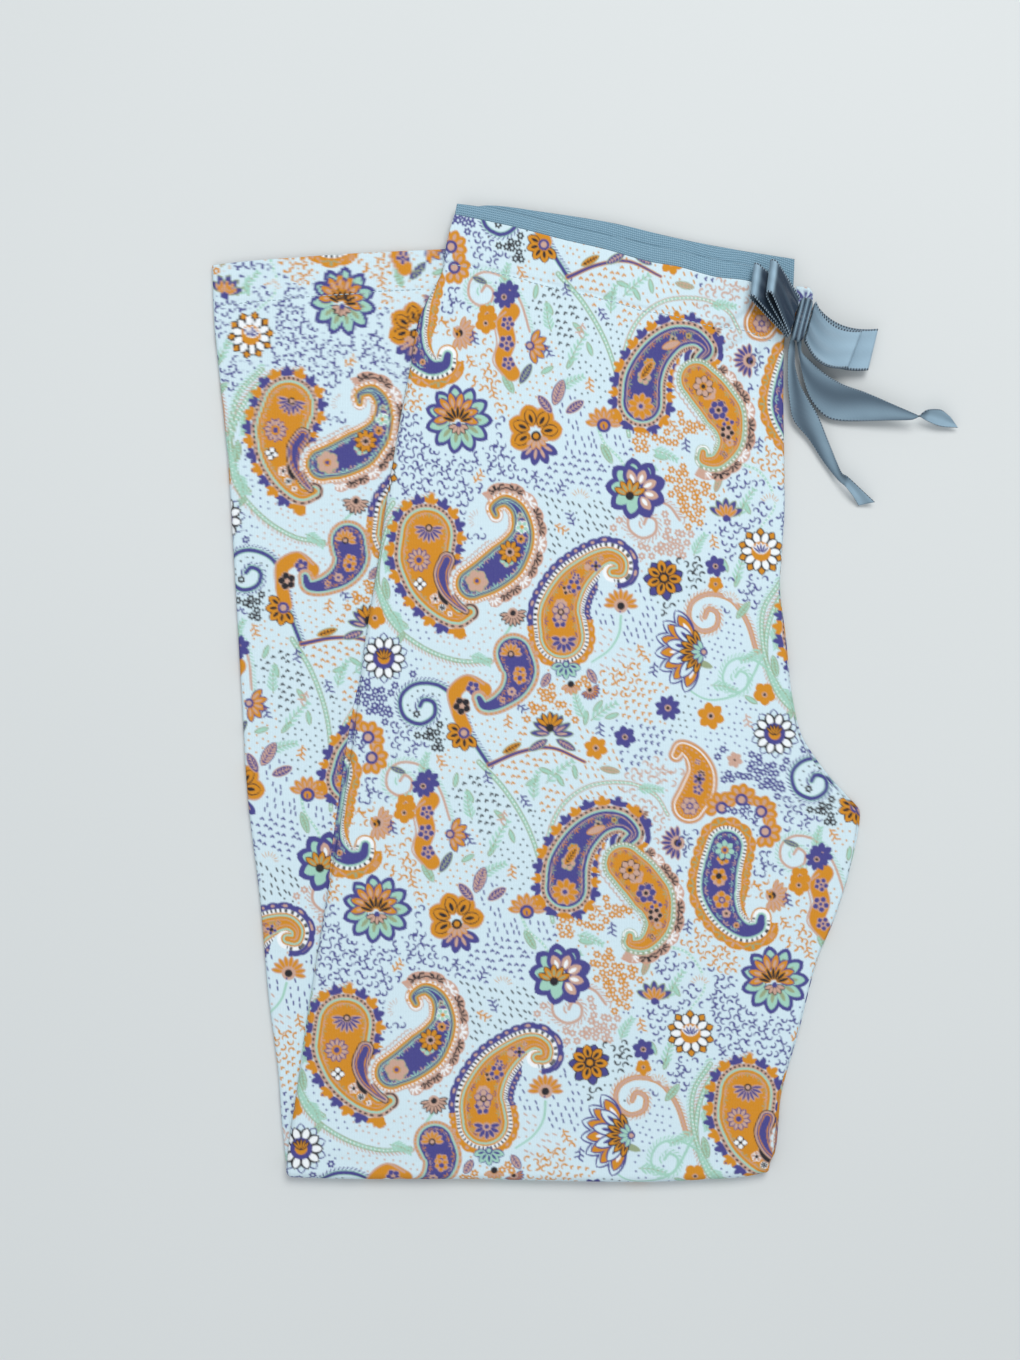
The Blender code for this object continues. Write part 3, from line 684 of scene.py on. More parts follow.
def spray(swatch, x, y, length, turn, colour, rim, pairs=6):
    """A feathery spray: a thin bending stem with pairs of slim leaves that shrink to its tip."""
    patch = swatch.window(on_board(x, y), length / 2 + 5)
    v, u = patch.turned(math.radians(turn))
    u = u + 0.9 * np.cos(v / length * 3)
    stem = np.maximum(np.abs(u) - 0.3, np.abs(v) - length / 2)
    patch.ink(stem, rim)
    room = stem
    for number in range(pairs):
        share = (number + 0.5) / pairs
        reach = 5.2 * (1 - 0.55 * share)
        for way in (-1, 1):
            a, b = u * way, v - length * (share - 0.5)
            p, q = a * 0.64 + b * 0.77, a * 0.77 - b * 0.64
            gap = petal(q, p - reach / 2, 0.62, reach / 2)
            patch.ink(gap, colour)
            room = np.minimum(room, gap)
    patch.keep_clear(room - 0.8)


def sprig(swatch, x, y, size, turn, colour):
    """A little branching sprig: a wavy stem with short round-ended arms by turns."""
    patch = swatch.window(on_board(x, y), size + 2)
    v, u = patch.turned(math.radians(turn))
    gap = np.maximum(np.abs(u + 0.3 * np.sin(v)) - 0.4, np.abs(v) - size * 0.8)
    for number, shift in enumerate(np.linspace(-0.5, 0.8, 5) * size):
        w = u * (1 if number % 2 else -1)
        arm = np.hypot(np.clip(np.abs(w - 1.2) - 0.9, 0, None), v - shift - 0.5 * w) - 0.5
        gap = np.minimum(gap, arm + np.where(w > -0.2, 0, 3))
    patch.ink(gap, colour)
    patch.keep_clear(gap - 0.7)


def fill_mark(swatch, kind, centre, turn, colour):
    """One small mark of the filling, about 3 mm across."""
    patch = swatch.window(centre, 3.4)
    v, u = (side / 1.12 for side in patch.turned(turn))
    rho = np.hypot(u, v)
    if kind == "ring":
        patch.ink(rho - 1.75 - 0.3 * np.cos(6 * np.arctan2(u, v)), colour)
        patch.ink(rho - 0.65, GROUND)
    elif kind == "comma":
        angle = np.arctan2(u, v)
        patch.ink(np.where(angle > -0.7, np.abs(rho - 1.3) - 0.28 - 0.1 * angle, 3), colour)
    elif kind == "dash":
        patch.ink(np.hypot(u, np.clip(np.abs(v) - 0.8, 0, None)) - 0.38, colour)
    elif kind == "dart":
        w = np.abs(u)
        along = np.clip(np.abs((w + v) * 0.7) - 0.75, 0, None)
        patch.ink(np.hypot(along, (v - w + 0.4) * 0.7) - 0.42, colour)
    else:
        patch.ink(rho - 0.5, colour)


def fill_ground(swatch):
    """The ground between the motifs, strewn with small marks on a jittered grid. Each area of
    it has its own kind and colour of mark, and the nearest area's centre decides."""
    random = np.random.default_rng(7)
    areas = on_board([x for x, *_ in FILLS], [y for _, y, *_ in FILLS])
    shifts = [i * REPEAT_ACROSS + j * REPEAT_ALONG for i in (-1, 0, 1) for j in (-1, 0, 1)]
    taken = swatch.room
    count = int(swatch.across / MARK_PITCH), int(swatch.along / MARK_PITCH)
    for row in range(count[1]):
        for column in range(count[0]):
            jitter = random.uniform(-0.22, 0.22, 2)
            share = (np.array([column + 0.5 * (row % 2), row]) + 0.5 + jitter) / count
            place = share * (swatch.across, swatch.along)
            cell = (place / swatch.cell).astype(int)
            room = taken[cell[1] % swatch.rows, cell[0] % swatch.columns]
            turn = random.uniform(0, 2 * math.pi)
            centre = place @ swatch.axes
            if room < 0.5:
                continue
            near = [np.linalg.norm(areas + shift - centre, axis=1) for shift in shifts]
            _, _, kind, colour, lean = FILLS[int(np.argmin(np.min(near, axis=0)))]
            if room < 1.5:
                kind = "dot"
            if lean is not None:
                turn = math.radians(lean) + turn * 0.06
            fill_mark(swatch, kind, centre, turn, colour)


# The filling's pitch in millimetres, and its areas: centre on the board, mark, colour, and its
# lean in degrees or None
MARK_PITCH = 4.05
FILLS = [
    (440, 488, "comma", VIOLET, None), (388, 704, "ring", VIOLET, None), (757, 782, "ring", VIOLET, None),
    (418, 718, "ring", BLACK, None), (808, 802, "ring", BLACK, None), (682, 489, "ring", ORANGE, None),
    (650, 536, "ring", TAN, None), (762, 507, "dart", BLACK, 90), (492, 798, "dart", BLACK, 60),
    (520, 770, "dart", ORANGE, 80), (690, 594, "comma", BLACK, None), (628, 620, "dash", VIOLET, 60),
    (493, 924, "dash", VIOLET, 70), (620, 680, "comma", ORANGE, None), (648, 702, "dart", ORANGE, 30),
    (660, 780, "comma", TAN, None), (575, 522, "dash", BLACK, 40), (610, 652, "dash", TAN, 20),
    (385, 640, "dot", VIOLET, None), (470, 660, "dot", TAN, None), (560, 700, "ring", ORANGE, None),
    (735, 545, "dot", VIOLET, None), (400, 860, "comma", ORANGE, None), (420, 960, "comma", VIOLET, None),
    (520, 850, "dot", BLACK, None), (640, 740, "dart", VIOLET, 10), (590, 760, "dash", ORANGE, 50),
    (745, 640, "comma", TAN, None), (480, 745, "dot", ORANGE, None), (400, 745, "comma", VIOLET, None),
    (795, 640, "dot", VIOLET, None), (500, 960, "dart", VIOLET, 80), (690, 960, "dash", ORANGE, 70),
    (450, 860, "dot", ORANGE, None), (690, 700, "dot", BLACK, None), (540, 600, "dot", TAN, None),
]


def draw_paisleys(s):
    """The eight large paisleys of one repeat, each with its own borders."""
    p = Paisley(s, [(427, 534), (424, 560), (428, 585), (441, 606), (457, 617), (470, 612)],
                [12.5, 12.5, 9.5, 6, 3, 1])
    p.crowns(4.2, 5.4, 5.4, [ORANGE, VIOLET], p.run < 0.9)
    p.body(TAN, 4.2)
    p.beads(3.1, 2.3, 0.62, BLACK)
    p.body(MINT, 1.9)
    p.body(ORANGE, 0.7)
    p.fans(-0.4, 4.6, 3.0, 3, [OLIVE, TAN], p.run < 0.75, True)
    p.line(-1.2, 0.4, TAN)
    p.clear(8.6)
    p.blossoms([0.62, 0.72, 0.82], 0.5, [TAN, BLACK], WHITE, (BLACK,))
    flower(s, 429, 528, 8.2, 9, VIOLET, TAN, (BLACK, TAN), math.pi / 2, 0.2, 0.8, spread=3.6)
    flower(s, 419, 560, 6.4, 11, TAN, VIOLET, (ORANGE, VIOLET), 0.2, 0.35, 0.9)
    flower(s, 420, 584, 3.6, 4, WHITE, BLACK, (BLACK,), math.pi / 2, 0.2, 1.0)
    leaf(s, 443, 598, 10, 4, 55, BLACK, TAN)
    inner = Paisley(s, [(447, 560), (442, 574), (446, 590), (456, 603), (466, 611)],
                    [3.4, 3.6, 2.8, 1.6, 0.7], 3)
    inner.body(BLACK, 1.3)
    inner.body(TAN, 0.7)
    inner.body(VIOLET, -0.3)
    inner.line(-1.3, 0.6, ORANGE)

    p = Paisley(s, [(472, 584), (490, 574), (510, 557), (522, 535), (519, 512), (506, 501),
                    (494, 507), (496, 515)],
                [8, 9.5, 10, 8, 5.5, 3.6, 2.2, 1.2])
    fringe = p.side > 0
    p.scallops(5.0, 5.4, 3.1, TAN, CORAL, fringe & (p.run > 0.05) & (p.run < 0.93))
    p.fans(3.4, 5.4, 4.4, 5, [BLACK, WHITE, BLACK], fringe & (p.run > 0.05) & (p.run < 0.9))
    p.scallops(3.2, 3.3, 1.9, GROUND, TAN, ~fringe & (p.run < 0.9))
    p.body(TAN, 3.0)
    p.body(WHITE, 2.4)
    p.beads(2.0, 1.9, 0.5, ORANGE)
    p.body(ORANGE, 1.3)
    p.body(OLIVE, 0.0)
    p.body(VIOLET, -0.9)
    p.fans(-1.4, 4.2, 3.0, 3, [MINT, TAN], p.run < 0.7, True)
    p.line(-1.9, 0.5, MINT)
    p.clear(8.6)
    p.blossoms([0.33, 0.52, 0.7], 0.4, [MINT, ORANGE], TAN, (BLACK,))
    flower(s, 510, 552, 6.4, 9, ORANGE, BLACK, (TAN, BLACK), 0.3, 0.3, 0.9)
    flower(s, 477, 581, 6.4, 6, TAN, OLIVE, (ORANGE, VIOLET), 0.1, 0.25, 1.0)
    flower(s, 522, 527, 3.6, 5, MINT, WHITE, (ORANGE,), 0.4, 0.25, 1.0)

    p = Paisley(s, [(562, 636), (560, 610), (571, 584), (590, 565), (608, 556), (620, 561),
                    (621, 571), (613, 572)],
                [10.5, 10, 8, 6.4, 4.6, 3.2, 2, 1.1])
    p.scallops(5.4, 4.2, 2.7, VIOLET, VIOLET, (p.run > 0.1) & (p.run < 0.97))
    p.scallops(5.4, 4.2, 2.7, ORANGE, ORANGE, p.run <= 0.1)
    p.beads(6.4, 4.2, 0.75, TAN)
    p.body(WHITE, 4.6)
    p.dashes(3.6, 1.9, 1.9, 0.8, BLACK)
    p.body(ORANGE, 2.4)
    p.body(MINT, 1.5)
    p.body(ORANGE, 0.4)
    p.line(-1.3, 0.45, TAN)
    p.fans(-1.4, 4.6, 2.6, 3, [VIOLET, OLIVE], p.run < 0.7, True)
    p.clear(8.8)
    p.blossoms([0.12, 0.24, 0.36, 0.48, 0.6, 0.72], 0.42, [VIOLET, TAN, BLACK], TAN, (TAN,))
    flower(s, 564, 640, 7.2, 7, VIOLET, TAN, (TAN, VIOLET), math.pi / 2, 0.25, 0.9, spread=4.0)
    flower(s, 561, 612, 5.0, 5, TAN, VIOLET, (BLACK, TAN), UP, 0.3, 1.0)
    flower(s, 574, 586, 4.2, 5, VIOLET, TAN, (ORANGE,), -0.9, 0.3, 1.0)
    flower(s, 596, 566, 3.0, 4, VIOLET, TAN, (BLACK,), 0.0, 0.3, 1.0)
    flower(s, 566, 664, 8.5, 5, MINT, VIOLET, (VIOLET, MINT), math.pi / 2, 0.2, 1.0, VIOLET, 3.2)
    leaf(s, 546, 680, 9, 4.4, 120, TAN, VIOLET, VIOLET)
    leaf(s, 592, 676, 9, 4.4, 60, TAN, VIOLET, VIOLET)
    flower(s, 571, 684, 6.0, 5, TAN, ORANGE, (BLACK,), math.pi / 2, 0.25, 0.9, spread=2.6)

    p = Paisley(s, [(514, 654), (520, 672), (514, 689), (499, 702), (485, 706), (479, 698)],
                [8.5, 8, 6, 3.8, 2.4, 1.1], 6)
    p.body(TAN, 3.2)
    p.beads(2.3, 1.9, 0.5, ORANGE)
    p.body(MINT, 1.3)
    p.body(VIOLET, 0.3)
    p.fans(-0.4, 4.2, 2.4, 3, [ORANGE, TAN], p.run < 0.7, True)
    p.clear(4.6)
    p.blossoms([0.25, 0.5, 0.66], 0.5, [ORANGE, TAN], TAN, (VIOLET,))
    flower(s, 511, 654, 6.0, 7, ORANGE, TAN, (BLACK, TAN), UP, 0.25, 0.9, spread=3.6)
    flower(s, 520, 678, 3.6, 5, ORANGE, TAN, (VIOLET,), 0.5, 0.3, 1.0)

    p = Paisley(s, [(566, 888), (568, 864), (580, 840), (600, 823), (621, 821), (634, 833), (626, 843)],
                [9.5, 9, 7.4, 6, 4.2, 2.2, 1.1])
    p.crowns(4.4, 5.4, 5.2, [ORANGE, VIOLET], p.side > -2)
    p.body(TAN, 4.3)
    p.beads(3.2, 2.3, 0.62, BLACK)
    p.body(MINT, 2.0)
    p.body(VIOLET, 1.0)
    p.line(-0.8, 0.5, TAN)
    p.fans(-0.9, 4.4, 2.6, 3, [OLIVE, ORANGE], p.run < 0.75, True)
    p.clear(8.6)
    p.blossoms([0.2, 0.32, 0.6, 0.72], 0.46, [TAN, ORANGE], OLIVE, (BLACK,))
    flower(s, 565, 892, 7.4, 9, ORANGE, TAN, (TAN, VIOLET), 0.0, 0.25, 0.9)
    leaf(s, 571, 856, 12, 5, -55, ORANGE, TAN, BLACK)
    leaf(s, 596, 830, 11, 4, -22, TAN, ORANGE)

    p = Paisley(s, [(624, 864), (641, 882), (655, 903), (658, 925), (646, 943), (631, 944), (630, 936)],
                [9, 10, 10, 7, 4.4, 2.6, 1.2])
    p.scallops(5.0, 5.4, 3.1, TAN, CORAL, (p.side < 0) & (p.run > 0.05) & (p.run < 0.93))
    p.fans(3.4, 5.4, 4.4, 5, [BLACK, WHITE, BLACK], (p.side < 0) & (p.run > 0.05) & (p.run < 0.9))
    p.scallops(3.4, 3.4, 1.9, GROUND, TAN, (p.side > 0) & (p.run < 0.9))
    p.body(OLIVE, 3.1)
    p.beads(2.2, 1.9, 0.5, WHITE)
    p.body(MINT, 1.3)
    p.body(ORANGE, 0.4)
    p.line(-1.0, 0.45, TAN)
    p.fans(-1.1, 4.6, 2.6, 3, [VIOLET, OLIVE], p.run < 0.75, True)
    p.clear(8.6)
    p.blossoms([0.15, 0.3, 0.45, 0.62, 0.74], 0.44, [TAN, BLACK, VIOLET], TAN, (ORANGE,))
    flower(s, 630, 870, 6.0, 7, TAN, BLACK, (ORANGE, BLACK), -2.3, 0.3, 0.9)
    flower(s, 646, 893, 5.6, 6, VIOLET, TAN, (TAN, BLACK), 0.9, 0.3, 1.0)
    flower(s, 655, 915, 4.2, 5, BLACK, TAN, (TAN,), 1.3, 0.3, 1.0)

    p = Paisley(s, [(689, 806), (698, 790), (701, 772), (694, 756), (682, 748), (676, 755)],
                [7, 7.5, 6.5, 4.4, 2.5, 1.2], 6)
    p.body(TAN, 3.0)
    p.line(1.9, 0.6, ORANGE)
    p.body(WHITE, 1.2)
    p.body(ORANGE, 0.5)
    p.beads(-1.2, 2.6, 0.55, TAN)
    p.clear(4.4)
    p.blossoms([0.25, 0.45, 0.62], 0.4, [VIOLET, BLACK], TAN, (TAN,))
    flower(s, 690, 806, 5.0, 6, TAN, VIOLET, (VIOLET, TAN), 0.0, 0.3, 1.0)
    flower(s, 699, 779, 3.4, 5, VIOLET, TAN, (BLACK,), 0.0, 0.3, 1.0)

    p = Paisley(s, [(727, 846), (721, 868), (719, 893), (728, 916), (744, 930), (759, 928), (762, 918)],
                [7.5, 8, 8.5, 6.8, 4.4, 2.6, 1.2])
    p.scallops(5.6, 5.4, 3.2, ORANGE, ORANGE, p.run < 0.97)
    p.fans(4.4, 5.4, 3.8, 3, [TAN, OLIVE], p.run < 0.95)
    p.body(ORANGE, 4.6)
    p.body(WHITE, 3.7)
    p.dashes(2.8, 1.9, 1.7, 0.8, BLACK)
    p.body(MINT, 1.7)
    p.body(VIOLET, 0.7)
    p.fans(-0.2, 4.4, 2.6, 3, [MINT, TAN], p.run < 0.75, True)
    p.clear(9.0)
    p.blossoms([0.12, 0.3, 0.46, 0.6, 0.72], 0.44, [ORANGE, TAN], TAN, (BLACK,))
    flower(s, 725, 850, 5.6, 7, MINT, VIOLET, (ORANGE, VIOLET), UP, 0.3, 0.9)
    flower(s, 719, 876, 4.6, 5, ORANGE, TAN, (BLACK,), 0.3, 0.3, 1.0)
    flower(s, 722, 900, 5.0, 5, ORANGE, TAN, (VIOLET, TAN), 0.9, 0.3, 1.0)
    for x, y, turn in ((722, 808, -2.0), (742, 800, -1.4), (762, 812, -0.5), (766, 832, 0.5)):
        flower(s, x, y, 9.5, 5, ORANGE, TAN, (VIOLET, TAN), turn, 0.3, 1.1, TAN, 3.6, edge=0.5)


def draw_vines(s):
    """The stems, scrolls and sprays that join the motifs, under them."""
    vine(s, [(431, 497), (400, 510), (381, 545), (378, 585), (392, 622), (424, 648), (460, 661), (490, 660)],
         1.9, MINT, 0.2, WHITE, OLIVE, TAN)
    vine(s, [(479, 762), (505, 790), (529, 830), (545, 880), (553, 922)], 1.9, MINT, 0.3, WHITE, OLIVE)
    vine(s, [(545, 872), (548, 838), (562, 806), (590, 786), (628, 783), (655, 795), (668, 815)],
         1.8, MINT, 0.3, WHITE, TAN)
    vine(s, [(781, 582), (764, 612), (766, 655), (782, 690), (797, 702)], 1.7, MINT, 0.3, WHITE, OLIVE, MINT)
    vine(s, [(764, 655), (744, 690), (712, 700), (690, 690), (686, 676)], 1.5, MINT, 0.4)
    vine(s, [(420, 706), (424, 700), (434, 703), (434, 716), (420, 724), (404, 716), (401, 697), (416, 684),
             (440, 686), (458, 704), (470, 735), (489, 765),
], 2.2, VIOLET, 0.1, None, MINT, VIOLET, -1)
    vine(s, [(489, 765), (520, 752), (552, 748), (585, 762)], 1.8, VIOLET, 0.5, None, ORANGE)
    vine(s, [(705, 617), (709, 609), (718, 614), (716, 627), (702, 631), (690, 620), (692, 603), (709, 594),
             (732, 600), (748, 622), (757, 650),
], 2.0, TAN, 0.1, None, ORANGE, TAN, -1)
    vine(s, [(736, 677), (741, 671), (749, 677), (745, 690), (731, 691), (723, 678), (730, 662), (748, 658),
             (767, 668), (780, 690)], 1.4, MINT, 0.1, None, None, MINT, -1)
    vine(s, [(644, 524), (648, 517), (656, 521), (655, 533), (642, 538), (629, 528), (631, 510), (648, 500),
             (668, 505), (680, 520)], 1.7, TAN, 0.1, None, None, TAN, -1)
    vine(s, [(400, 781), (405, 775), (412, 781), (409, 792), (397, 795), (387, 786), (389, 770), (404, 762),
             (424, 768), (440, 790), (450, 820),
], 1.5, TAN, 0.1, None, None, MINT, -1)
    vine(s, [(621, 616), (619, 634), (609, 650), (592, 662)], 1.4, MINT, 0.3)
    vine(s, [(512, 625), (502, 640), (494, 658)], 1.4, MINT, 0.3)
    vine(s, [(520, 912), (528, 930), (546, 948), (560, 980)], 1.6, MINT, 0.3, WHITE)
    vine(s, [(664, 945), (690, 955), (705, 985), (690, 1010)], 1.5, MINT, 0.4, WHITE)
    for x, y, turn in (
        (546, 771, 20), (560, 780, 60), (532, 782, -30), (575, 772, 80), (456, 780, 100), (470, 796, 60),
        (598, 706, -50), (612, 716, -20), (586, 718, -80), (780, 612, 60), (786, 640, 110), (752, 700, 30),
        (500, 815, 40), (512, 836, 70), (492, 850, 120), (468, 858, 150), (688, 648, 0), (560, 950, 60),
        (574, 962, 30), (586, 942, 10), (726, 565, 70), (738, 580, 110), (646, 956, 160), (676, 990, 60),
    ):
        leaf(s, x, y, 8.0, 2.6, turn, MINT, OLIVE)


def draw_sprays(s):
    """Mint sprays of slim leaves in the open ground, and pairs of larger leaves on the vines."""
    for x, y, length, turn in (
        (560, 772, 20, -40), (536, 786, 16, -80), (604, 712, 18, -35), (580, 706, 15, -110),
        (500, 836, 20, -60), (470, 806, 15, -100), (742, 568, 18, -70), (782, 622, 16, -60),
        (724, 688, 15, 10), (566, 962, 20, -30), (590, 940, 15, 20), (676, 985, 18, -60),
        (414, 806, 15, -120), (494, 870, 15, -30), (650, 790, 14, 0), (700, 545, 14, -60),
        (480, 660, 12, 20), (752, 655, 14, 150), (386, 560, 12, 80), (396, 620, 12, 60), (820, 840, 14, -80),
    ):
        spray(s, x, y, length, turn, MINT, OLIVE)
    for x, y, length, wide, turn, fill in (
        (446, 862, 13, 4.6, -60, VIOLET), (428, 872, 12, 4.4, -120, MINT), (512, 748, 12, 4.0, -30, ORANGE),
        (610, 770, 11, 3.6, 10, TAN), (744, 610, 12, 4.0, -50, MINT), (704, 664, 10, 3.4, 20, OLIVE),
        (776, 666, 12, 4.0, 80, MINT), (462, 742, 10, 4.0, 70, ORANGE), (790, 716, 10, 3.4, -50, MINT),
        (530, 940, 12, 4.0, 60, MINT), (398, 770, 9, 3.0, 20, VIOLET), (646, 966, 11, 3.6, 110, TAN),
    ):
        leaf(s, x, y, length, wide, turn, fill, OLIVE, BLACK if fill == ORANGE else OLIVE)


def draw_flowers(s):
    """The flowers, fans and leaves between the paisleys."""
    flower(s, 384, 658, 13.5, 10, GROUND, VIOLET, (), 0.3, 0.3, 0.8, edge=0.9)
    flower(s, 384, 658, 11.5, 10, WHITE, BLACK, (VIOLET, ORANGE), 0.0, 0.42, 0.9, edge=1.2)
    flower(s, 384, 660, 6.4, 5, ORANGE, BLACK, (), UP, 0.1, 0.8, spread=1.9)
    flower(s, 762, 551, 13.0, 10, ORANGE, BLACK, (), 0.3, 0.3, 0.8, edge=0.8)
    flower(s, 762, 551, 11.0, 10, WHITE, BLACK, (ORANGE,), 0.0, 0.4, 0.9, edge=1.0)
    flower(s, 762, 554, 6.4, 5, VIOLET, WHITE, (), UP, 0.1, 0.9, spread=2.0)
    flower(s, 664, 580, 11.5, 7, VIOLET, BLACK, (), 0.5, 0.2, 0.7, edge=0.7)
    flower(s, 664, 578, 10.0, 7, ORANGE, BLACK, (BLACK, ORANGE), 0.05, 0.25, 0.75, BLACK)
    flower(s, 636, 489, 17.0, 9, VIOLET, VIOLET, (), 0.4, 0.2, 1.1, edge=1.0)
    flower(s, 636, 489, 14.0, 9, MINT, VIOLET, (), 0.4, 0.2, 1.0, edge=0.6)
    flower(s, 637, 491, 14.5, 5, VIOLET, VIOLET, (), -0.5, 0.2, 1.1, None, 3.6, edge=0.9)
    flower(s, 637, 491, 12.5, 5, TAN, VIOLET, (), -0.5, 0.3, 0.9, WHITE, 3.6, edge=0.9)
    flower(s, 630, 496, 9.5, 5, ORANGE, BLACK, (BLACK,), UP, 0.2, 0.9, OLIVE, 2.8)
    flower(s, 727, 516, 10.5, 5, VIOLET, OLIVE, (), UP, 0.1, 0.9, spread=2.8)
    flower(s, 727, 518, 8.0, 5, ORANGE, TAN, (VIOLET,), UP, 0.2, 0.8, spread=2.2)
    flower(s, 700, 650, 25.0, 7, GROUND, VIOLET, (), math.pi - 0.1, 0.3, 1.2, spread=2.6, edge=1.1)
    flower(s, 700, 650, 22.0, 7, ORANGE, VIOLET, (), math.pi - 0.1, 0.3, 1.1, WHITE, 2.6, edge=0.9)
    flower(s, 701, 650, 19.0, 4, GROUND, VIOLET, (), math.pi - 0.1, 0.3, 0.8, VIOLET, 2.2, edge=1.0)
    flower(s, 702, 652, 12.5, 7, ORANGE, BLACK, (), math.pi, 0.3, 0.9, BLACK, 2.9, edge=0.8)
    flower(s, 704, 652, 7.0, 5, MINT, VIOLET, (VIOLET, TAN), math.pi, 0.25, 0.9, None, 2.8)
    flower(s, 552, 734, 12.0, 7, VIOLET, OLIVE, (), UP, 0.1, 0.8, TAN, 3.6)
    flower(s, 550, 728, 9.0, 5, ORANGE, BLACK, (BLACK,), UP, 0.2, 0.8, spread=2.4)
    for turn in (0.5, 2.6):
        x, y = 552 + 16 * math.cos(turn), 742 + 6 * math.sin(turn)
        leaf(s, x, y, 12, 4.4, math.degrees(turn), VIOLET, OLIVE, TAN)
    flower(s, 377, 909, 19.0, 11, VIOLET, VIOLET, (), 0.0, 0.3, 1.0, edge=0.9)
    flower(s, 377, 909, 17.0, 11, MINT, VIOLET, (), 0.0, 0.3, 0.9, OLIVE, edge=0.7)
    flower(s, 374, 906, 13.0, 8, ORANGE, VIOLET, (), UP, 0.3, 0.9, TAN, 4.2, edge=0.9)
    flower(s, 376, 912, 9.0, 7, BLACK, ORANGE, (), UP, 0.2, 0.8, None, 3.0)
    flower(s, 377, 914, 6.0, 5, TAN, BLACK, (VIOLET,), math.pi / 2, 0.2, 0.9, None, 3.0)
    flower(s, 458, 930, 13.0, 4, VIOLET, VIOLET, (), 1.4, 0.2, 0.9, TAN, 2.4)
    flower(s, 456, 920, 15.5, 5, ORANGE, TAN, (), -1.9, 0.2, 1.1, TAN, 4.4, edge=0.9)
    flower(s, 456, 920, 13.0, 5, ORANGE, BLACK, (), -1.9, 0.3, 0.7, BLACK, 4.4, edge=0.6)
    flower(s, 457, 924, 7.5, 5, TAN, ORANGE, (BLACK, ORANGE), 1.3, 0.3, 0.9, None, 2.6)
    vine(s, [(431, 800), (424, 812), (427, 830), (422, 848), (432, 862)], 9.0, ORANGE, 0.1, None, TAN)
    vine(s, [(425, 801), (414, 812), (416, 832), (412, 850), (422, 864)], 1.0, TAN, 0.1)
    flower(s, 450, 834, 10.5, 5, ORANGE, VIOLET, (VIOLET, TAN), 0.1, 0.2, 0.9, TAN, 2.8)
    for x, y, size in ((427, 812, 4.0), (426, 832, 4.6), (428, 852, 4.0)):
        flower(s, x, y, size, 5, VIOLET, TAN, (TAN, VIOLET), 0.2, 0.3, 1.0)
    vine(s, [(484, 690), (468, 682), (455, 693), (458, 712), (466, 730)], 8.0, ORANGE, 0.2, None, TAN)
    vine(s, [(484, 684), (466, 675), (448, 690), (452, 714)], 1.1, TAN, 0.2)
    flower(s, 464, 733, 10.0, 5, ORANGE, BLACK, (VIOLET, TAN), 2.2, 0.25, 1.0, BLACK, 3.4)
    flower(s, 462, 706, 5.0, 5, BLACK, TAN, (TAN,), 3.0, 0.2, 1.0)
    flower(s, 473, 688, 4.0, 5, VIOLET, TAN, (TAN,), 3.0, 0.2, 1.0)
    flower(s, 527, 912, 10.5, 7, ORANGE, TAN, (VIOLET, ORANGE), UP, 0.3, 0.95, TAN, 3.3)
    leaf(s, 480, 880, 15, 6.4, -70, TAN, VIOLET, VIOLET)
    leaf(s, 466, 892, 12, 5, -130, VIOLET, TAN, TAN)
    leaf(s, 497, 894, 12, 5, -35, VIOLET, TAN, TAN)
    for x, y, petals, colour, size in (
        (716, 566, 6, VIOLET, 6.0), (428, 781, 7, VIOLET, 6.6), (406, 804, 5, ORANGE, 5.8),
        (716, 584, 5, ORANGE, 4.4), (668, 708, 8, VIOLET, 7.2), (711, 716, 6, ORANGE, 7.6),
        (765, 693, 5, ORANGE, 6.0), (375, 618, 5, ORANGE, 6.0), (596, 748, 6, ORANGE, 6.6),
        (625, 737, 6, VIOLET, 6.2), (540, 640, 6, ORANGE, 4.0), (735, 760, 6, TAN, 4.4),
        (818, 860, 8, VIOLET, 6.4), (800, 886, 5, ORANGE, 6.0),
    ):
        flower(s, x, y, size, petals, colour, colour, (TAN, BLACK), 0.3, 0.2, 0.75)
    for x, y, size, turn, colour, rim in (
        (621, 606, 9.5, -90, ORANGE, TAN), (513, 613, 7.5, 80, TAN, BLACK),
        (678, 843, 9.5, 180, VIOLET, TAN), (773, 896, 9.5, 20, TAN, ORANGE),
        (590, 690, 5.5, 60, ORANGE, VIOLET), (640, 812, 5.0, 90, BLACK, TAN),
    ):
        flower(s, x, y, size, 9, colour, rim, (TAN, BLACK), math.radians(turn), 0.32, 0.9, spread=3.5)
    for x, y, turn, colour in (
        (771, 503, -90, ORANGE), (730, 601, -60, ORANGE), (580, 499, -80, ORANGE), (478, 520, 200, TAN),
    ):
        flower(s, x, y, 6.4, 7, colour, GROUND, (), math.radians(turn), 0.35, 0.6, spread=2.6)
    for x, y, turn, colour in (
        (560, 489, -60, VIOLET), (572, 520, -110, VIOLET), (524, 800, 60, VIOLET), (560, 528, 30, ORANGE),
        (478, 478, -50, ORANGE), (503, 816, 110, TAN), (487, 776, 80, VIOLET), (640, 650, 70, ORANGE),
        (654, 668, 100, VIOLET), (440, 760, 60, ORANGE), (392, 826, 80, VIOLET), (388, 850, 60, ORANGE),
        (508, 720, 90, ORANGE), (520, 706, 40, VIOLET), (600, 728, 90, VIOLET), (714, 540, 80, ORANGE),
        (748, 720, 80, TAN), (468, 838, 60, VIOLET), (512, 870, 90, ORANGE), (544, 905, 80, TAN),
        (598, 910, 60, ORANGE), (612, 928, 90, VIOLET), (688, 925, 100, VIOLET), (412, 880, 80, ORANGE),
    ):
        sprig(s, x, y, 4.2, turn, colour)


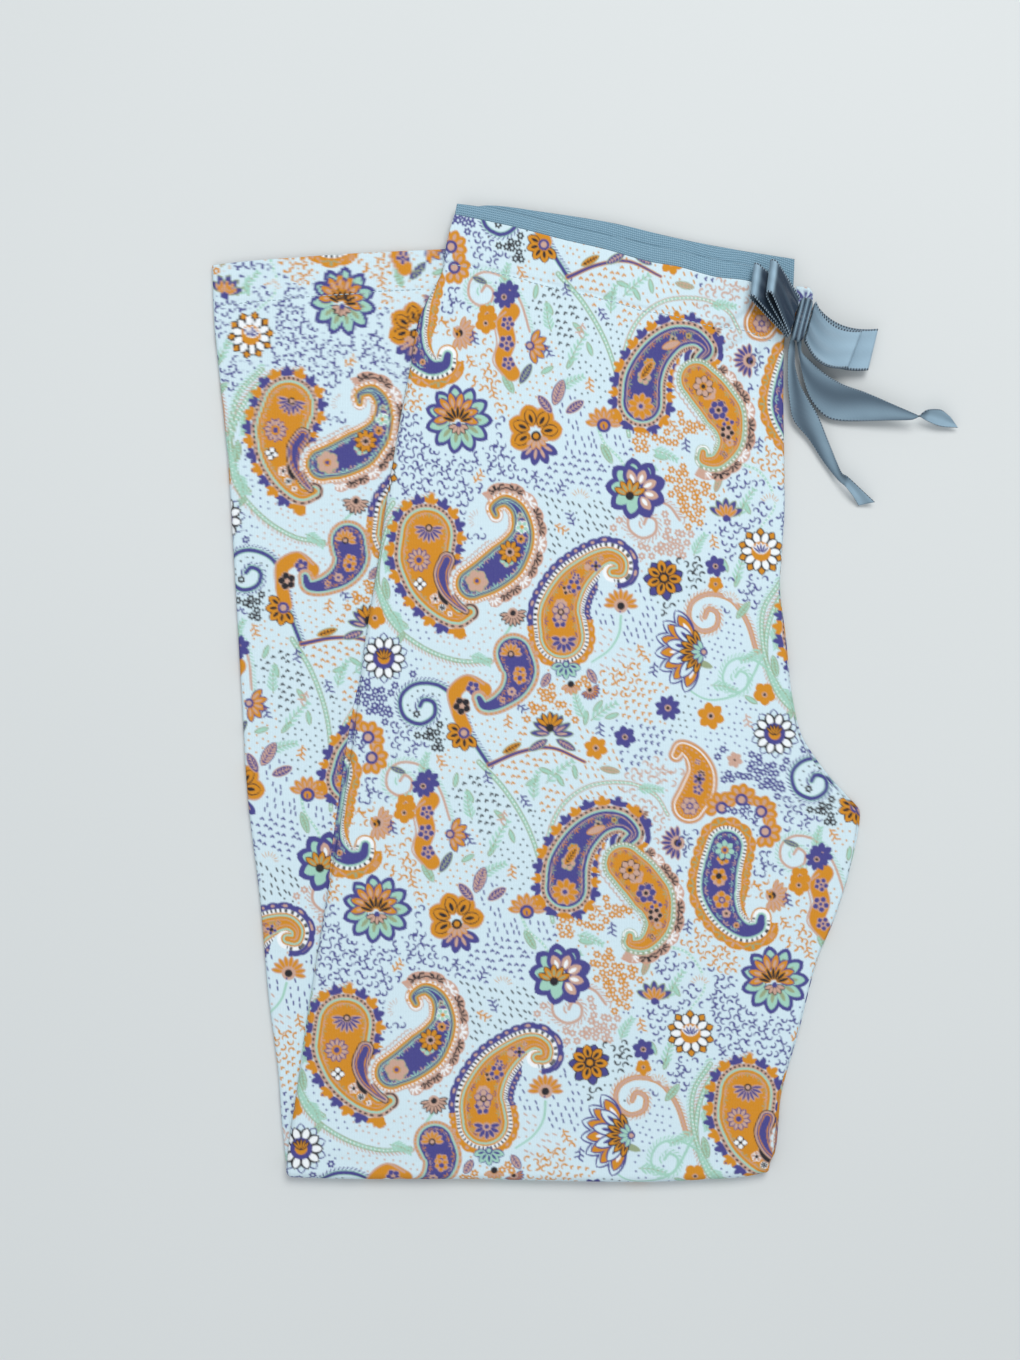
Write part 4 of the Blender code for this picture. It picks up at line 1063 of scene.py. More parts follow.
def paint_print():
    """One repeat: stems first, then sprays, flowers and paisleys, then the marks between them."""
    swatch = Swatch()
    draw_vines(swatch)
    draw_sprays(swatch)
    draw_flowers(swatch)
    draw_paisleys(swatch)
    fill_ground(swatch)
    return swatch


print_swatch = paint_print()


def print_at(cloth, lie):
    """The dye at places on the cloth. The lie says which place of the board lies at its own x
    and y, and how far the cloth's grain is turned there."""
    turn = math.radians(lie.turn)
    x, y = cloth[..., 0] - lie.x, lie.y - cloth[..., 1]
    board_x = lie.board_x + (x * math.cos(turn) + y * math.sin(turn)) / BOARD
    board_y = lie.board_y + (y * math.cos(turn) - x * math.sin(turn)) / BOARD
    return print_swatch.read(straightened(board_x, board_y))


# The pieces' surfaces
def lerp(a, b, t):
    return a * (1 - t) + b * t


def ease(x):
    """A smooth step from 0 at 0 to 1 at 1."""
    x = np.clip(x, 0, 1)
    return x * x * (3 - 2 * x)


def bell(distance, width):
    """A bell curve: 1 at no distance, and almost 0 past twice the width."""
    return np.exp(-((distance / width) ** 2))


def ridge(fold, x, y):
    """A soft ridge along a line: a bell across it, fading past both ends. Below 0 is a trough."""
    dx, dy = fold.x2 - fold.x1, fold.y2 - fold.y1
    length = math.hypot(dx, dy)
    along = ((x - fold.x1) * dx + (y - fold.y1) * dy) / length
    beside = ((x - fold.x1) * dy - (y - fold.y1) * dx) / length
    past = np.maximum(0, np.maximum(-along, along - length))
    return fold.height * np.exp(-(beside**2 + past**2) / fold.width**2)


def stack_height(x, y):
    """The stack's top before its edges roll: lower past the leg under it, higher at the casing."""
    past_leg = x - LOWER_RIGHT.x_at(y)
    above_fold = y - FOLD.end.y
    below_waist = WAIST.y_at(x) - y
    fall = ease((past_leg + SIDE_FALL_START) / SIDE_FALL_WIDTH) * ease(above_fold / FOLD_FALL_LENGTH)
    rise = ease(1 - below_waist / WAIST_RISE_LENGTH) * ease(past_leg / SIDE_FALL_WIDTH)
    return STACK_TOP - SIDE_FALL * fall + WAIST_RISE * rise


def unevenness(x, y):
    """How cloth lying loose rises and falls: three long crossing waves, a third of a millimetre."""
    return (
        0.14 * np.sin(x / 21 + 1.3 * np.sin(y / 60) + 0.4)
        + 0.12 * np.sin(y / 27 - x / 45 + 2.1)
        + 0.07 * np.sin(x / 9.5 + y / 13 + 1.5 * np.sin(y / 31))
    )


def casing(x, y):
    """The casing's relief: a groove at its row of stitches, fullness above, and small puckers."""
    below = WAIST.y_at(x) - y
    puckers = np.sin(x / 2.9 + 1.4 * np.sin(x / 11)) * (0.6 + 0.4 * np.sin(x / 17 + 1))
    return (
        0.35 * bell(below - CASING * 0.5, CASING * 0.3)
        - 0.7 * bell(below - CASING, 1.2)
        + 0.45 * puckers * bell(below - CASING, 7.0)
    )


def hem_relief(x, y):
    """The hem's relief: a groove at its row of stitches and light fullness above it."""
    below = HEM.y_at(x) - y
    return -0.3 * bell(below - HEM_DEPTH, 1.0) + 0.12 * bell(below - 5, 4.0)


def panel_height(x, y):
    """The top leg's height: the stack with its folds, creases, unevenness and casing."""
    folds = sum(ridge(fold, x, y) for fold in PANEL_FOLDS + CREASES)
    return stack_height(x, y) + folds + unevenness(x, y) + casing(x, y)


def grid_index(rows, columns):
    """The quads of a grid of points, by their corners' numbers."""
    index = np.arange(rows * columns).reshape(rows, columns)
    corners = [index[:-1, :-1], index[1:, :-1], index[1:, 1:], index[:-1, 1:]]
    return np.stack(corners, axis=-1).reshape(-1, 4)


def add_mesh(name, points, quads, look, cloth=None, colours=None):
    """An object from points in millimetres and quads. `cloth` gives each point's place on the
    flat cloth, kept as a UV map in metres, and `colours` the colour there, kept as an attribute:
    the print's dye on the jersey, and painted light and shade on the satin."""
    mesh = bpy.data.meshes.new(name)
    mesh.vertices.add(len(points))
    mesh.vertices.foreach_set("co", (points * MM).astype(np.float32).ravel())
    mesh.loops.add(quads.size)
    mesh.loops.foreach_set("vertex_index", quads.ravel().astype(np.int32))
    mesh.polygons.add(len(quads))
    mesh.polygons.foreach_set("loop_start", np.arange(0, quads.size, 4, dtype=np.int32))
    mesh.update(calc_edges=True)
    mesh.shade_smooth()
    if cloth is not None:
        layer = mesh.uv_layers.new(name="cloth")
        layer.uv.foreach_set("vector", (cloth[quads.ravel()] * MM).astype(np.float32).ravel())
    if colours is not None:
        dye_and_painted_light = mesh.attributes.new("dye_and_painted_light", "FLOAT_COLOR", "POINT")
        rgba = np.ones((len(points), 4), np.float32)
        rgba[:, :3] = colours
        dye_and_painted_light.data.foreach_set("color", rgba.ravel())
    obj = bpy.data.objects.new(name, mesh)
    obj.data.materials.append(look)
    bpy.context.scene.collection.objects.link(obj)
    return obj


def add_grid(name, points, look, cloth=None, colours=None, wall=0.0, offset=-1):
    """A grid of points as an object: rows run down and columns right where its face is up."""
    flat_cloth = None if cloth is None else cloth.reshape(-1, 2)
    flat_colours = None if colours is None else colours.reshape(-1, 3)
    quads = grid_index(*points.shape[:2])
    obj = add_mesh(name, points.reshape(-1, 3), quads, look, flat_cloth, flat_colours)
    if wall:
        solidify = obj.modifiers.new("wall", "SOLIDIFY")
        solidify.thickness = wall * MM
        solidify.offset = offset
    return obj


def rolled_row(left_x, right_x, left_roll, left_turn, right_roll, right_turn, columns, arcs):
    """Across a sheet with rolled long edges, for each row: x, how far it has dropped, and its
    place along the cloth. Each edge is an arc of the roll's radius, turned under by its turn."""
    near = left_turn * np.linspace(1, 0, arcs[0]) + 0 * left_x
    far = right_turn * np.linspace(0, 1, arcs[1]) + 0 * left_x
    flat_left, flat_right = left_x + left_roll, right_x - right_roll
    middle = lerp(flat_left, flat_right, np.linspace(0, 1, columns)[1:-1])
    x = np.hstack([flat_left - left_roll * np.sin(near), middle, flat_right + right_roll * np.sin(far)])
    drop = np.hstack([left_roll * (1 - np.cos(near)), 0 * middle, right_roll * (1 - np.cos(far))])
    cloth = np.hstack([flat_left - left_roll * near, middle, flat_right + right_roll * far])
    return x, drop, cloth


def on_surface(points):
    """The same points, with none below the surface that the cloth lies on."""
    return np.maximum(points, [-np.inf, -np.inf, 0.05])


def top_leg_surface():
    """The top leg's front: a loft from its left to its right edge, both rolled under. Its waist
    edge turns down a little, and its lower end turns round the fold across the thighs, at the
    radius of half the stack. Returns the points and each one's place on the cloth."""
    down = np.linspace(0, 1, PANEL_ROWS)[:, None]
    left_y = lerp(PANEL_LEFT.start.y, PANEL_LEFT.end.y, down)
    right_y = lerp(PANEL_RIGHT.start.y, PANEL_RIGHT.end.y, down)
    left_x, right_x = PANEL_LEFT.x_at(left_y), PANEL_RIGHT.x_at(right_y)
    left_roll = lerp(LEFT_WAIST_ROLL, LEFT_ROLL, ease((PANEL_LEFT.start.y - left_y) / LEFT_ROLL_LENGTH))
    near_fold = ease((down - 0.9) / 0.1)
    x, drop, cloth_x = rolled_row(
        left_x, right_x, left_roll, lerp(LEFT_TURN, FOLD_END_TURN, near_fold),
        RIGHT_ROLL, lerp(RIGHT_TURN, FOLD_END_TURN, near_fold), PANEL_COLUMNS, (LEFT_ARC, RIGHT_ARC),
    )
    y = lerp(left_y, right_y, (x - left_x) / (right_x - left_x))
    y = y + (WAIST.y_at(x[0]) - y[0]) * (1 - down) + (FOLD.y_at(x[-1]) - y[-1]) * down
    z = panel_height(x, y)
    radius = (z[-1] - FOLD_CLEARANCE) / 2
    y = y + radius * down**FOLD_PULL - WAIST_EDGE_ROLL * (1 - down) ** 40
    turn = EDGE_TURN * np.linspace(1, 0, EDGE_ARC)[:-1, None]
    reach = WAIST_EDGE_ROLL * np.ones_like(x[0])
    rows = [
        np.stack(
            [x[0] + 0 * turn, y[0] + reach * np.sin(turn), (z - drop)[0] - reach * (1 - np.cos(turn))], -1
        ),
        np.stack([x, y, z - drop], -1),
    ]
    cloth = [np.stack([cloth_x[0] + 0 * turn, y[0] + reach * turn], -1), np.stack([cloth_x, y], -1)]
    turn = FOLD_TURN * np.linspace(0, 1, FOLD_ROWS)[1:, None]
    reach = radius - drop[-1]
    rows.append(
        np.stack([x[-1] + 0 * turn, y[-1] - reach * np.sin(turn), z[-1] - radius + reach * np.cos(turn)], -1)
    )
    cloth.append(np.stack([cloth_x[-1] + 0 * turn, y[-1] - radius * turn], -1))
    return on_surface(np.concatenate(rows)), np.concatenate(cloth)


def lower_leg_surface():
    """The lower leg's front, from its rolled left edge to just under the top leg, with its hem
    turned under at the top end. The same loft as the top leg's, one layer lower."""
    down = np.linspace(0, 1, LOWER_ROWS)[:, None]
    left_y = lerp(LOWER_LEFT.start.y, LOWER_LEFT.end.y, down)
    right_y = lerp(HEM.end.y, LOWER_LEFT.end.y, down)
    left_x = LOWER_LEFT.x_at(left_y)
    right_x = PANEL_LEFT.x_at(right_y) + LOWER_TUCK
    x, drop, cloth_x = rolled_row(
        left_x, right_x, LOWER_ROLL * np.ones_like(left_x), LOWER_TURN, 0, 0, LOWER_COLUMNS, (LOWER_ARC, 2)
    )
    x, drop, cloth_x = x[:, :-1], drop[:, :-1], cloth_x[:, :-1]
    y = lerp(left_y, right_y, (x - left_x) / (right_x - left_x))
    y = y + (HEM.y_at(x[0]) - y[0]) * (1 - down)
    open_share = ease((PANEL_LEFT.x_at(y) - 1 - x) / 8)
    z = LOWER_TOP + open_share * (unevenness(x + 70, y) + sum(ridge(fold, x, y) for fold in LOWER_CREASES))
    z = z + hem_relief(x, y)
    y = y - HEM_ROLL * (1 - down) ** 40
    turn = EDGE_TURN * np.linspace(1, 0, EDGE_ARC)[:-1, None]
    edge_z = (z - drop)[0] - HEM_ROLL * (1 - np.cos(turn))
    edge = np.stack([x[0] + 0 * turn, y[0] + HEM_ROLL * np.sin(turn), edge_z], -1)
    edge_cloth = np.stack([cloth_x[0] + 0 * turn, y[0] + HEM_ROLL * turn], -1)
    cloth = np.concatenate([edge_cloth, np.stack([cloth_x, y], -1)])
    return on_surface(np.concatenate([edge, np.stack([x, y, z - drop], -1)])), cloth


def layer_profile():
    """The rim of the hidden layers, from under the top down to the surface: rounded edges of
    four layers, each a half ellipse, with a dark gap between. Returns (height share, out)."""
    angle = np.linspace(0, math.pi, RIM_STEPS)
    shares, outs = [], []
    for top, low, out in RIM_LAYERS:
        shares.append(lerp(top, low, (1 - np.cos(angle)) / 2))
        outs.append(out * np.sin(angle) ** 0.7)
    return np.concatenate(shares), np.concatenate(outs)


def hidden_layers_surface():
    """All that the folds hide, as one closed form: low under the lower leg, a step up under the
    top leg and a shelf under the elastic, with the layers' rounded rims round it."""
    down = (np.linspace(0, 1, STACK_ROWS) ** 1.1)[:, None]
    fold_inset = STACK_TOP / 2 + FOLD_END_INSET
    end_y = FOLD.start.y + fold_inset
    across = np.linspace(0, 1, STACK_LOW_COLUMNS)
    left_y = lerp(LOWER_LEFT.start.y - HEM_INSET, end_y, down)
    right_y = lerp(HEM.end.y - HEM_INSET, end_y, down)
    low_x = lerp(LOWER_LEFT.x_at(left_y) + LOWER_INSET, PANEL_LEFT.x_at(right_y) + STEP_INSET, across)
    low_y = lerp(left_y, right_y, across)
    low_y = low_y + (HEM.y_at(low_x[0]) - HEM_INSET - low_y[0]) * (1 - down)
    low_z = np.full_like(low_x, LOWER_TOP - UNDER_TOP)
    across = np.linspace(0, 1, STACK_HIGH_COLUMNS)
    left_y = lerp(PANEL_LEFT.start.y - WAIST_STEP_INSET, end_y, down)
    right_y = lerp(PANEL_RIGHT.start.y - WAIST_STEP_INSET, end_y, down)
    right_x = PANEL_RIGHT.x_at(right_y) + RIGHT_PEEK.x_at(right_y) - RIM_OUT
    high_x = lerp(PANEL_LEFT.x_at(left_y) + STEP_INSET + 1.5, right_x, across)
    high_y = lerp(left_y, right_y, across)
    waist_y = WAIST.y_at(high_x[0])
    high_y = high_y + (waist_y - WAIST_STEP_INSET - high_y[0]) * (1 - down)
    high_y = high_y + (FOLD.y_at(high_x[-1]) + fold_inset - high_y[-1]) * down**FOLD_PULL
    high_z = stack_height(high_x, high_y) - UNDER_TOP - 1.2
    high_z[:, -1] -= 1.6
    bands_y = np.minimum(*(band.edge.y_at(high_x[0]) for band in BANDS.values()))
    shelf_z = stack_height(high_x[0], waist_y) - SHELF_DEPTH
    shelf = np.stack([high_x[0], bands_y - 2.5, shelf_z], -1)
    inner = np.stack([high_x[0], high_y[0] + 1.0, shelf_z], -1)
    low_edge = np.stack([low_x[0], low_y[0] + 0.2, low_z[0]], -1)
    top = np.hstack([np.stack([low_x, low_y, low_z], -1), np.stack([high_x, high_y, high_z], -1)])
    first = np.concatenate([low_edge, shelf])[None]
    second = np.concatenate([low_edge - [0, 0.1, 0], inner])[None]
    return np.concatenate([first, second, top])


def add_hidden_layers(look):
    """The closed form: its top grid, the rim's rings round it, and a flat underside fan."""
    top = hidden_layers_surface()
    rows, columns = top.shape[:2]
    index = np.arange(rows * columns).reshape(rows, columns)
    ring = np.concatenate([index[0, :-1], index[:-1, -1], index[-1, :0:-1], index[:0:-1, 0]])
    points = top.reshape(-1, 3)
    edge = points[ring]
    along = np.roll(edge, -3, axis=0)[:, :2] - np.roll(edge, 3, axis=0)[:, :2]
    outward = np.stack([-along[:, 1], along[:, 0]], axis=1)
    outward /= np.linalg.norm(outward, axis=1)[:, None]
    shares, outs = layer_profile()
    quads = [grid_index(rows, columns)]
    parts = [points]
    count = len(points)
    upper = ring
    for share, out in zip(shares, outs):
        lower = np.arange(len(edge)) + count
        parts.append(np.column_stack([edge[:, :2] + outward * out, edge[:, 2] * share]))
        quads.append(np.stack([upper, np.roll(upper, -1), np.roll(lower, -1), lower], -1))
        count += len(edge)
        upper = lower
    points = np.concatenate(parts)
    cloth = np.column_stack([points[:, 0] - 2 * points[:, 2], points[:, 1] + points[:, 2]])
    obj = add_mesh("folded_layers", points, np.concatenate(quads), look, cloth, print_at(cloth, UPPER_LIE))
    close_rings(obj, [upper])
    return obj


def close_rings(obj, rings):
    """A flat face over each open ring of points, so that the form is closed."""
    work = bmesh.new()
    work.from_mesh(obj.data)
    work.verts.ensure_lookup_table()
    for ring in rings:
        work.faces.new([work.verts[i] for i in ring.tolist()])
    bmesh.ops.recalc_face_normals(work, faces=work.faces)
    work.to_mesh(obj.data)
    work.free()


def between_layer_surface():
    """The edge of a layer between the legs that shows left of the top leg: a strip under its
    edge, which stands out by its own curve and rolls down."""
    y = np.linspace(BETWEEN_PEEK.start.y, BETWEEN_PEEK.end.y, BETWEEN_ROWS)[:, None]
    outer = PANEL_LEFT.x_at(y) - BETWEEN_PEEK.x_at(y)
    x, drop, cloth_x = rolled_row(outer, outer + 12.5, 0.7, EDGE_TURN, 0, 0, 9, (6, 2))
    x, drop, cloth_x = x[:, :-1], drop[:, :-1], cloth_x[:, :-1]
    z = BETWEEN_TOP + 0 * x
    return np.stack([x, y + 0 * x, z - drop], -1), np.stack([cloth_x, y + 0 * x], -1)


def band_surface(band):
    """An elastic band: from its free edge down to just under the cloth's edge, with fine ribs
    that run along it and a ripple where the stitching gathers it."""
    across = np.linspace(0, 1, BAND_COLUMNS)
    share = np.linspace(0, 1, BAND_ROWS)[:, None]
    top_x = lerp(band.edge.start.x, band.edge.end.x, across)
    low_x = lerp(band.low_left, band.low_right, across)
    low_y = WAIST.y_at(low_x) - BAND_TUCK
    x = lerp(top_x, low_x, share)
    y = lerp(band.edge.y_at(top_x), low_y, share)
    depth = (1 - share) * (band.edge.y_at(top_x) - low_y)
    z = stack_height(x, low_y + 0 * x) - band.depth
    z = z + 0.16 * np.abs(np.sin(math.pi * depth / 1.25))
    z = z + 0.25 * (1 - share) * np.sin(x / 5.2 + 1.1 * np.sin(x / 13)) * ease(share * 4 + 0.3)
    return np.stack([x, y, z], -1), np.stack([x, depth], -1)


def ribbon_grid(edge_a, edge_b, lift, up):
    """A ribbon between two edge lines, raised along `up` by `lift`, a grid of its own."""
    share = np.linspace(0, 1, RIBBON_COLUMNS)[None, :, None]
    return edge_a[:, None] * (1 - share) + edge_b[:, None] * share + up * lift[..., None]


def satin_painted_light(painted_tone):
    """Satin's colour for a tone from 0, turned from the light, to 1, facing it."""
    return lerp(np.array(SATIN_IN_SHADE), np.array(SATIN_IN_LIGHT), np.clip(painted_tone, 0, 1)[..., None])


def bow_loop(name, loop, look, painted_lit):
    """A ribbon loop: out from the knot, round its rounded end and back on top of itself. Folds
    gathered by the knot fan out from it and die away towards the end. Its colour is painted
    light: the right loops lit all along, the left ones in painted shade but for a painted
    highlight round their ends, with painted streaks of sheen across them all."""
    knot_a, knot_b, end_a, end_b, bend = (
        np.array(p, float) for p in (loop.knot_a, loop.knot_b, loop.end_a, loop.end_b, loop.bend)
    )
    run = (end_a + end_b - knot_a - knot_b) / 2
    up = np.cross(run, (knot_b - knot_a) + (end_b - end_a))
    up /= math.copysign(np.linalg.norm(up), up[2])
    turn_start = 1 - loop.opening / np.linalg.norm(run)
    out = np.linspace(0, turn_start, LOOP_RUN_ROWS)[:-1]
    half_gap = lerp(0.9, loop.opening, ease(out / turn_start))
    turn = np.linspace(-math.pi / 2, math.pi / 2, LOOP_TURN_ROWS)
    share = np.concatenate([out, lerp(turn_start, 1, np.cos(turn)), out[::-1]])[:, None]
    height = np.concatenate([-half_gap, loop.opening * np.sin(turn), half_gap[::-1]])[:, None]
    shift = bend * 4 * share * (1 - share) + up * height
    edge_a = lerp(knot_a, end_a, share) + shift
    edge_b = lerp(knot_b, end_b, share) + shift
    wide = np.linspace(0, 1, RIBBON_COLUMNS)
    gather = (1 - share) ** 1.6 * 0.55 * np.sin(wide * 19 + 0.7 * np.sin(wide * 7) + loop.opening)
    sag = 0.5 * np.sin(math.pi * wide) * np.sin(math.pi * share) * np.sign(height + 1e-6)
    points = ribbon_grid(edge_a, edge_b, gather + sag, up)
    # Painted sheen in streaks, and painted light: lit loops brighter towards their ends, shaded loops dark
    # but for a painted highlight round the end
    painted_sheen_streaks = 0.10 * np.sin(wide * 15 + 2 * share) * (1 - share * 0.6)
    lit_end = bell(share - 0.95, 0.07)
    base = lerp(0.5, 0.95, share) if painted_lit else 0.95 * lit_end
    return add_ribbon(name, points, look, satin_painted_light(base + painted_sheen_streaks + 0 * wide))


def bow_tail(name, stations, look):
    """A ribbon tail: smooth from each pair of edge points to the next, with a soft cupping. Its
    colour is painted light: bands of sheen across it, and lighter past the twist, as if facing the lamp.
    """
    known = np.arange(len(stations))
    at = np.linspace(0, known[-1], TAIL_ROWS)
    read = np.stack([smooth(known, values, at) for values in np.array(stations).T], axis=1)
    wide = np.linspace(0, 1, RIBBON_COLUMNS)
    lift = 0.3 * np.sin(math.pi * wide) * np.sin(at[:, None] * 1.3 + 0.6)
    points = ribbon_grid(read[:, :3], read[:, 3:], lift, np.array([0, 0, 1.0]))
    # Painted light: the part past the twist painted lighter, as if turned to the lamp, with painted bands of
    # sheen
    past_twist = ease((at[:, None] / known[-1] - 0.78) / 0.05)
    painted_tone = 0.42 + 0.22 * np.sin(wide * 5 + at[:, None] * 0.8) + 0.5 * past_twist
    return add_ribbon(name, points, look, satin_painted_light(painted_tone))


def add_ribbon(name, points, look, colours):
    """The ribbon with its thin wall. Its cloth places run along it and across it."""
    run = np.linalg.norm(np.diff(points, axis=0), axis=2).mean(axis=1)
    along = np.concatenate([[0], np.cumsum(run)])[:, None]
    wide = np.linspace(0, 25, points.shape[1])[None]
    cloth = np.stack([along + 0 * wide, wide + 0 * along], -1)
    return add_grid(name, points, look, cloth, colours, wall=0.5, offset=0)


def bow_knot(look):
    """The strip wrapped round the bow's middle: a rounded box section carried round, whose
    creases run round it and which is drawn in at its two ends. Its colour is painted shade
    and light along the creases."""
    around = np.linspace(0, 2 * math.pi, KNOT_AROUND + 1)[:-1]
    wide = np.linspace(-1, 1, KNOT_ACROSS)
    a, w = np.meshgrid(around, wide, indexing="ij")
    crease = 0.35 * np.sin(w * 8 + 1.1 * np.sin(a + 0.5)) + 0.2 * np.sin(w * 15 + 2 * np.cos(a))
    closing = np.sqrt(np.clip(1 - np.abs(w) ** 5, 0, 1))
    cos, sin = np.cos(a), np.sin(a)
    half_length = (KNOT_SIZE[1] / 2 - 0.4 + crease * 0.5) * (0.25 + 0.75 * closing)
    half_height = (KNOT_SIZE[2] / 2 - 0.4 + crease) * (0.25 + 0.75 * closing)
    y = half_length * np.sign(cos) * np.abs(cos) ** 0.55
    z = half_height * np.sign(sin) * np.abs(sin) ** 0.7
    x = KNOT_SIZE[0] / 2 * w * (1 - 0.1 * np.abs(sin))
    cos, sin = math.cos(KNOT_TURN), math.sin(KNOT_TURN)
    points = np.stack([
        KNOT_CENTRE[0] + x * cos - y * sin, KNOT_CENTRE[1] + x * sin + y * cos, KNOT_CENTRE[2] + z,
    ], -1)
    cloth = np.stack([a * 9, 12.5 + w * 4], -1).reshape(-1, 2)
    rows, columns = a.shape
    index = np.arange(rows * columns).reshape(rows, columns)
    turned = np.roll(index, -1, axis=0)
    quads = np.stack([index[:, :-1], index[:, 1:], turned[:, 1:], turned[:, :-1]], -1).reshape(-1, 4)
    # Painted shade and light: darker in the creases' troughs, lighter on their crests
    painted_tone = 0.3 + 0.35 * np.sin(w * 8 + 1.1 * np.sin(a + 0.5))
    colours = satin_painted_light(painted_tone).reshape(-1, 3)
    obj = add_mesh("bow_knot_wrap", points.reshape(-1, 3), quads, look, cloth, colours)
    close_rings(obj, [index[:, 0], index[:, -1]])
    return obj


def waist_corner(look):
    """The corner of the other front past the bow: its outline eased in rings to a domed top."""
    outline = np.array(OTHER_FRONT)
    line = np.concatenate([
        lerp(outline[i], outline[(i + 1) % len(outline)], np.linspace(0, 1, CORNER_SIDE)[:-1, None])
        for i in range(len(outline))
    ])
    for _ in range(3):
        line = (np.roll(line, 1, 0) + 2 * line + np.roll(line, -1, 0)) / 4
    centre = line.mean(0)
    rings = []
    for size, z in ((0.0, 0.0), (0.5, 0.0), (0.8, -0.03), (0.93, -0.15), (0.99, -0.5), (0.97, -1.15)):
        place = centre + (line - centre) * max(size, 0.02)
        rings.append(np.column_stack([place, np.full(len(line), CORNER_TOP + z)]))
    closing = np.column_stack([centre + (line - centre) * 0.02, np.full(len(line), CORNER_TOP - 1.2)])
    points = np.stack(rings + [closing])
    points = np.concatenate([points, points[:, :1]], axis=1)[:, ::-1]
    cloth = points[..., :2].copy()
    return add_grid("other_front_corner", points, look, cloth, print_at(cloth, UPPER_LIE))


def stitches(name, x, y, z, look):
    """A row of stitches along a line: each a slim capsule, sunk by half in the cloth."""
    step = np.concatenate([[0], np.cumsum(np.hypot(np.diff(x), np.diff(y)))])
    at = np.arange(1.2, step[-1] - 1.2, STITCH_PITCH)
    cx, cy, cz = np.interp(at, step, x), np.interp(at, step, y), np.interp(at, step, z)
    way = np.arctan2(np.interp(at + 0.5, step, y) - cy, np.interp(at + 0.5, step, x) - cx)
    along, around = np.meshgrid(np.linspace(-1, 1, 7), np.linspace(0, 2 * math.pi, 7)[:-1], indexing="ij")
    girth = STITCH_GIRTH / 2 * np.sqrt(np.clip(1.02 - along**2, 0, 1))
    u, v = along * STITCH_LENGTH / 2, girth * np.cos(around)
    w = girth * np.sin(around) * 0.8 + 0.1 * (1 - along**2)
    cos, sin = np.cos(way)[:, None, None], np.sin(way)[:, None, None]
    points = np.stack([
        cx[:, None, None] + u * cos - v * sin, cy[:, None, None] + u * sin + v * cos, cz[:, None, None] + w,
    ], -1)
    rows, columns = along.shape
    index = np.arange(rows * columns).reshape(rows, columns)
    right = np.roll(index, -1, axis=1)
    quads = np.stack([index[:-1], right[:-1], right[1:], index[1:]], -1).reshape(-1, 4)
    every = (np.arange(len(at)) * rows * columns)[:, None, None] + quads
    return add_mesh(name, points.reshape(-1, 3), every.reshape(-1, 4), look)


# The finishes
class Value:
    """A socket of a material's nodes, so that maths on it is written as a plain expression."""

    def __init__(self, nodes, socket):
        self.nodes, self.socket = nodes, socket

    def _maths(self, kind, *others):
        return self.nodes.add("ShaderNodeMath", {"operation": kind}, [self, *others])

    def __add__(self, other):
        return self._maths("ADD", other)

    def __sub__(self, other):
        return self._maths("SUBTRACT", other)

    def __mul__(self, other):
        return self._maths("MULTIPLY", other)

    def __rsub__(self, other):
        return self.nodes.add("ShaderNodeMath", {"operation": "SUBTRACT"}, [other, self])

    __radd__ = __add__
    __rmul__ = __mul__

    def sine(self):
        return self._maths("SINE")

    def absolute(self):
        return self._maths("ABSOLUTE")

    def above(self, least):
        return self._maths("GREATER_THAN", least)


class Look:
    """A material being made: its shader, and one method that adds any other node."""

    def __init__(self, name, **constants):
        self.material = bpy.data.materials.new(name)
        self.material.use_nodes = True
        self.tree = self.material.node_tree
        self.shader = self.tree.nodes["Principled BSDF"]
        for socket, value in constants.items():
            self.shader.inputs[socket.replace("_", " ")].default_value = value

    def add(self, kind, settings=None, inputs=(), output=0):
        node = self.tree.nodes.new(kind)
        for name, value in (settings or {}).items():
            setattr(node, name, value)
        pairs = inputs.items() if isinstance(inputs, dict) else enumerate(inputs)
        for key, value in pairs:
            if isinstance(value, Value):
                self.tree.links.new(value.socket, node.inputs[key])
            else:
                node.inputs[key].default_value = value
        return Value(self, node.outputs[output])

    def place(self, kind="UV"):
        return self.add("ShaderNodeTexCoord", output=kind)

    def split(self, vector):
        return [self.add("ShaderNodeSeparateXYZ", None, [vector], axis) for axis in "XYZ"]

    def noise(self, vector, scale, detail=2.0):
        return self.add("ShaderNodeTexNoise", None, {"Vector": vector, "Scale": scale, "Detail": detail})

    def mix(self, share, first, second, blend="MIX"):
        return self.add(
            "ShaderNodeMix", {"data_type": "RGBA", "blend_type": blend},
            {0: share, 6: first, 7: second}, output=2,
        )

    def bump(self, height, depth, strength=1.0):
        return self.add("ShaderNodeBump", None, {"Height": height, "Distance": depth, "Strength": strength})

    def feed(self, **links):
        for socket, value in links.items():
            self.tree.links.new(value.socket, self.shader.inputs[socket.replace("_", " ")])
        return self.material


def printed_jersey_look():
    """Printed cotton jersey: the dye from the cloth's attribute over fine knit wales, matt."""
    look = Look(
        "printed_jersey", Roughness=0.95, Sheen_Weight=0.03, Sheen_Roughness=0.6, Specular_IOR_Level=0.12
    )
    along, across, _ = look.split(look.place())
    wales = (along * (2 * math.pi / WALE)).sine()
    courses = (across * (2 * math.pi / COURSE) + wales * 0.9).sine()
    knit = wales * 0.6 + courses * 0.4
    slub = look.noise(look.place(), 900.0, 2.0)
    dye_and_painted_light = look.add("ShaderNodeAttribute", {"attribute_name": "dye_and_painted_light"}, output="Color")
    worn = look.mix(slub * 0.05, dye_and_painted_light, WORN_TINT)
    shaded = look.mix((1 - knit) * 0.05, worn, KNIT_SHADE, "MULTIPLY")
    return look.feed(Base_Color=shaded, Normal=look.bump(knit + slub * 0.8, 0.00012, 0.6))


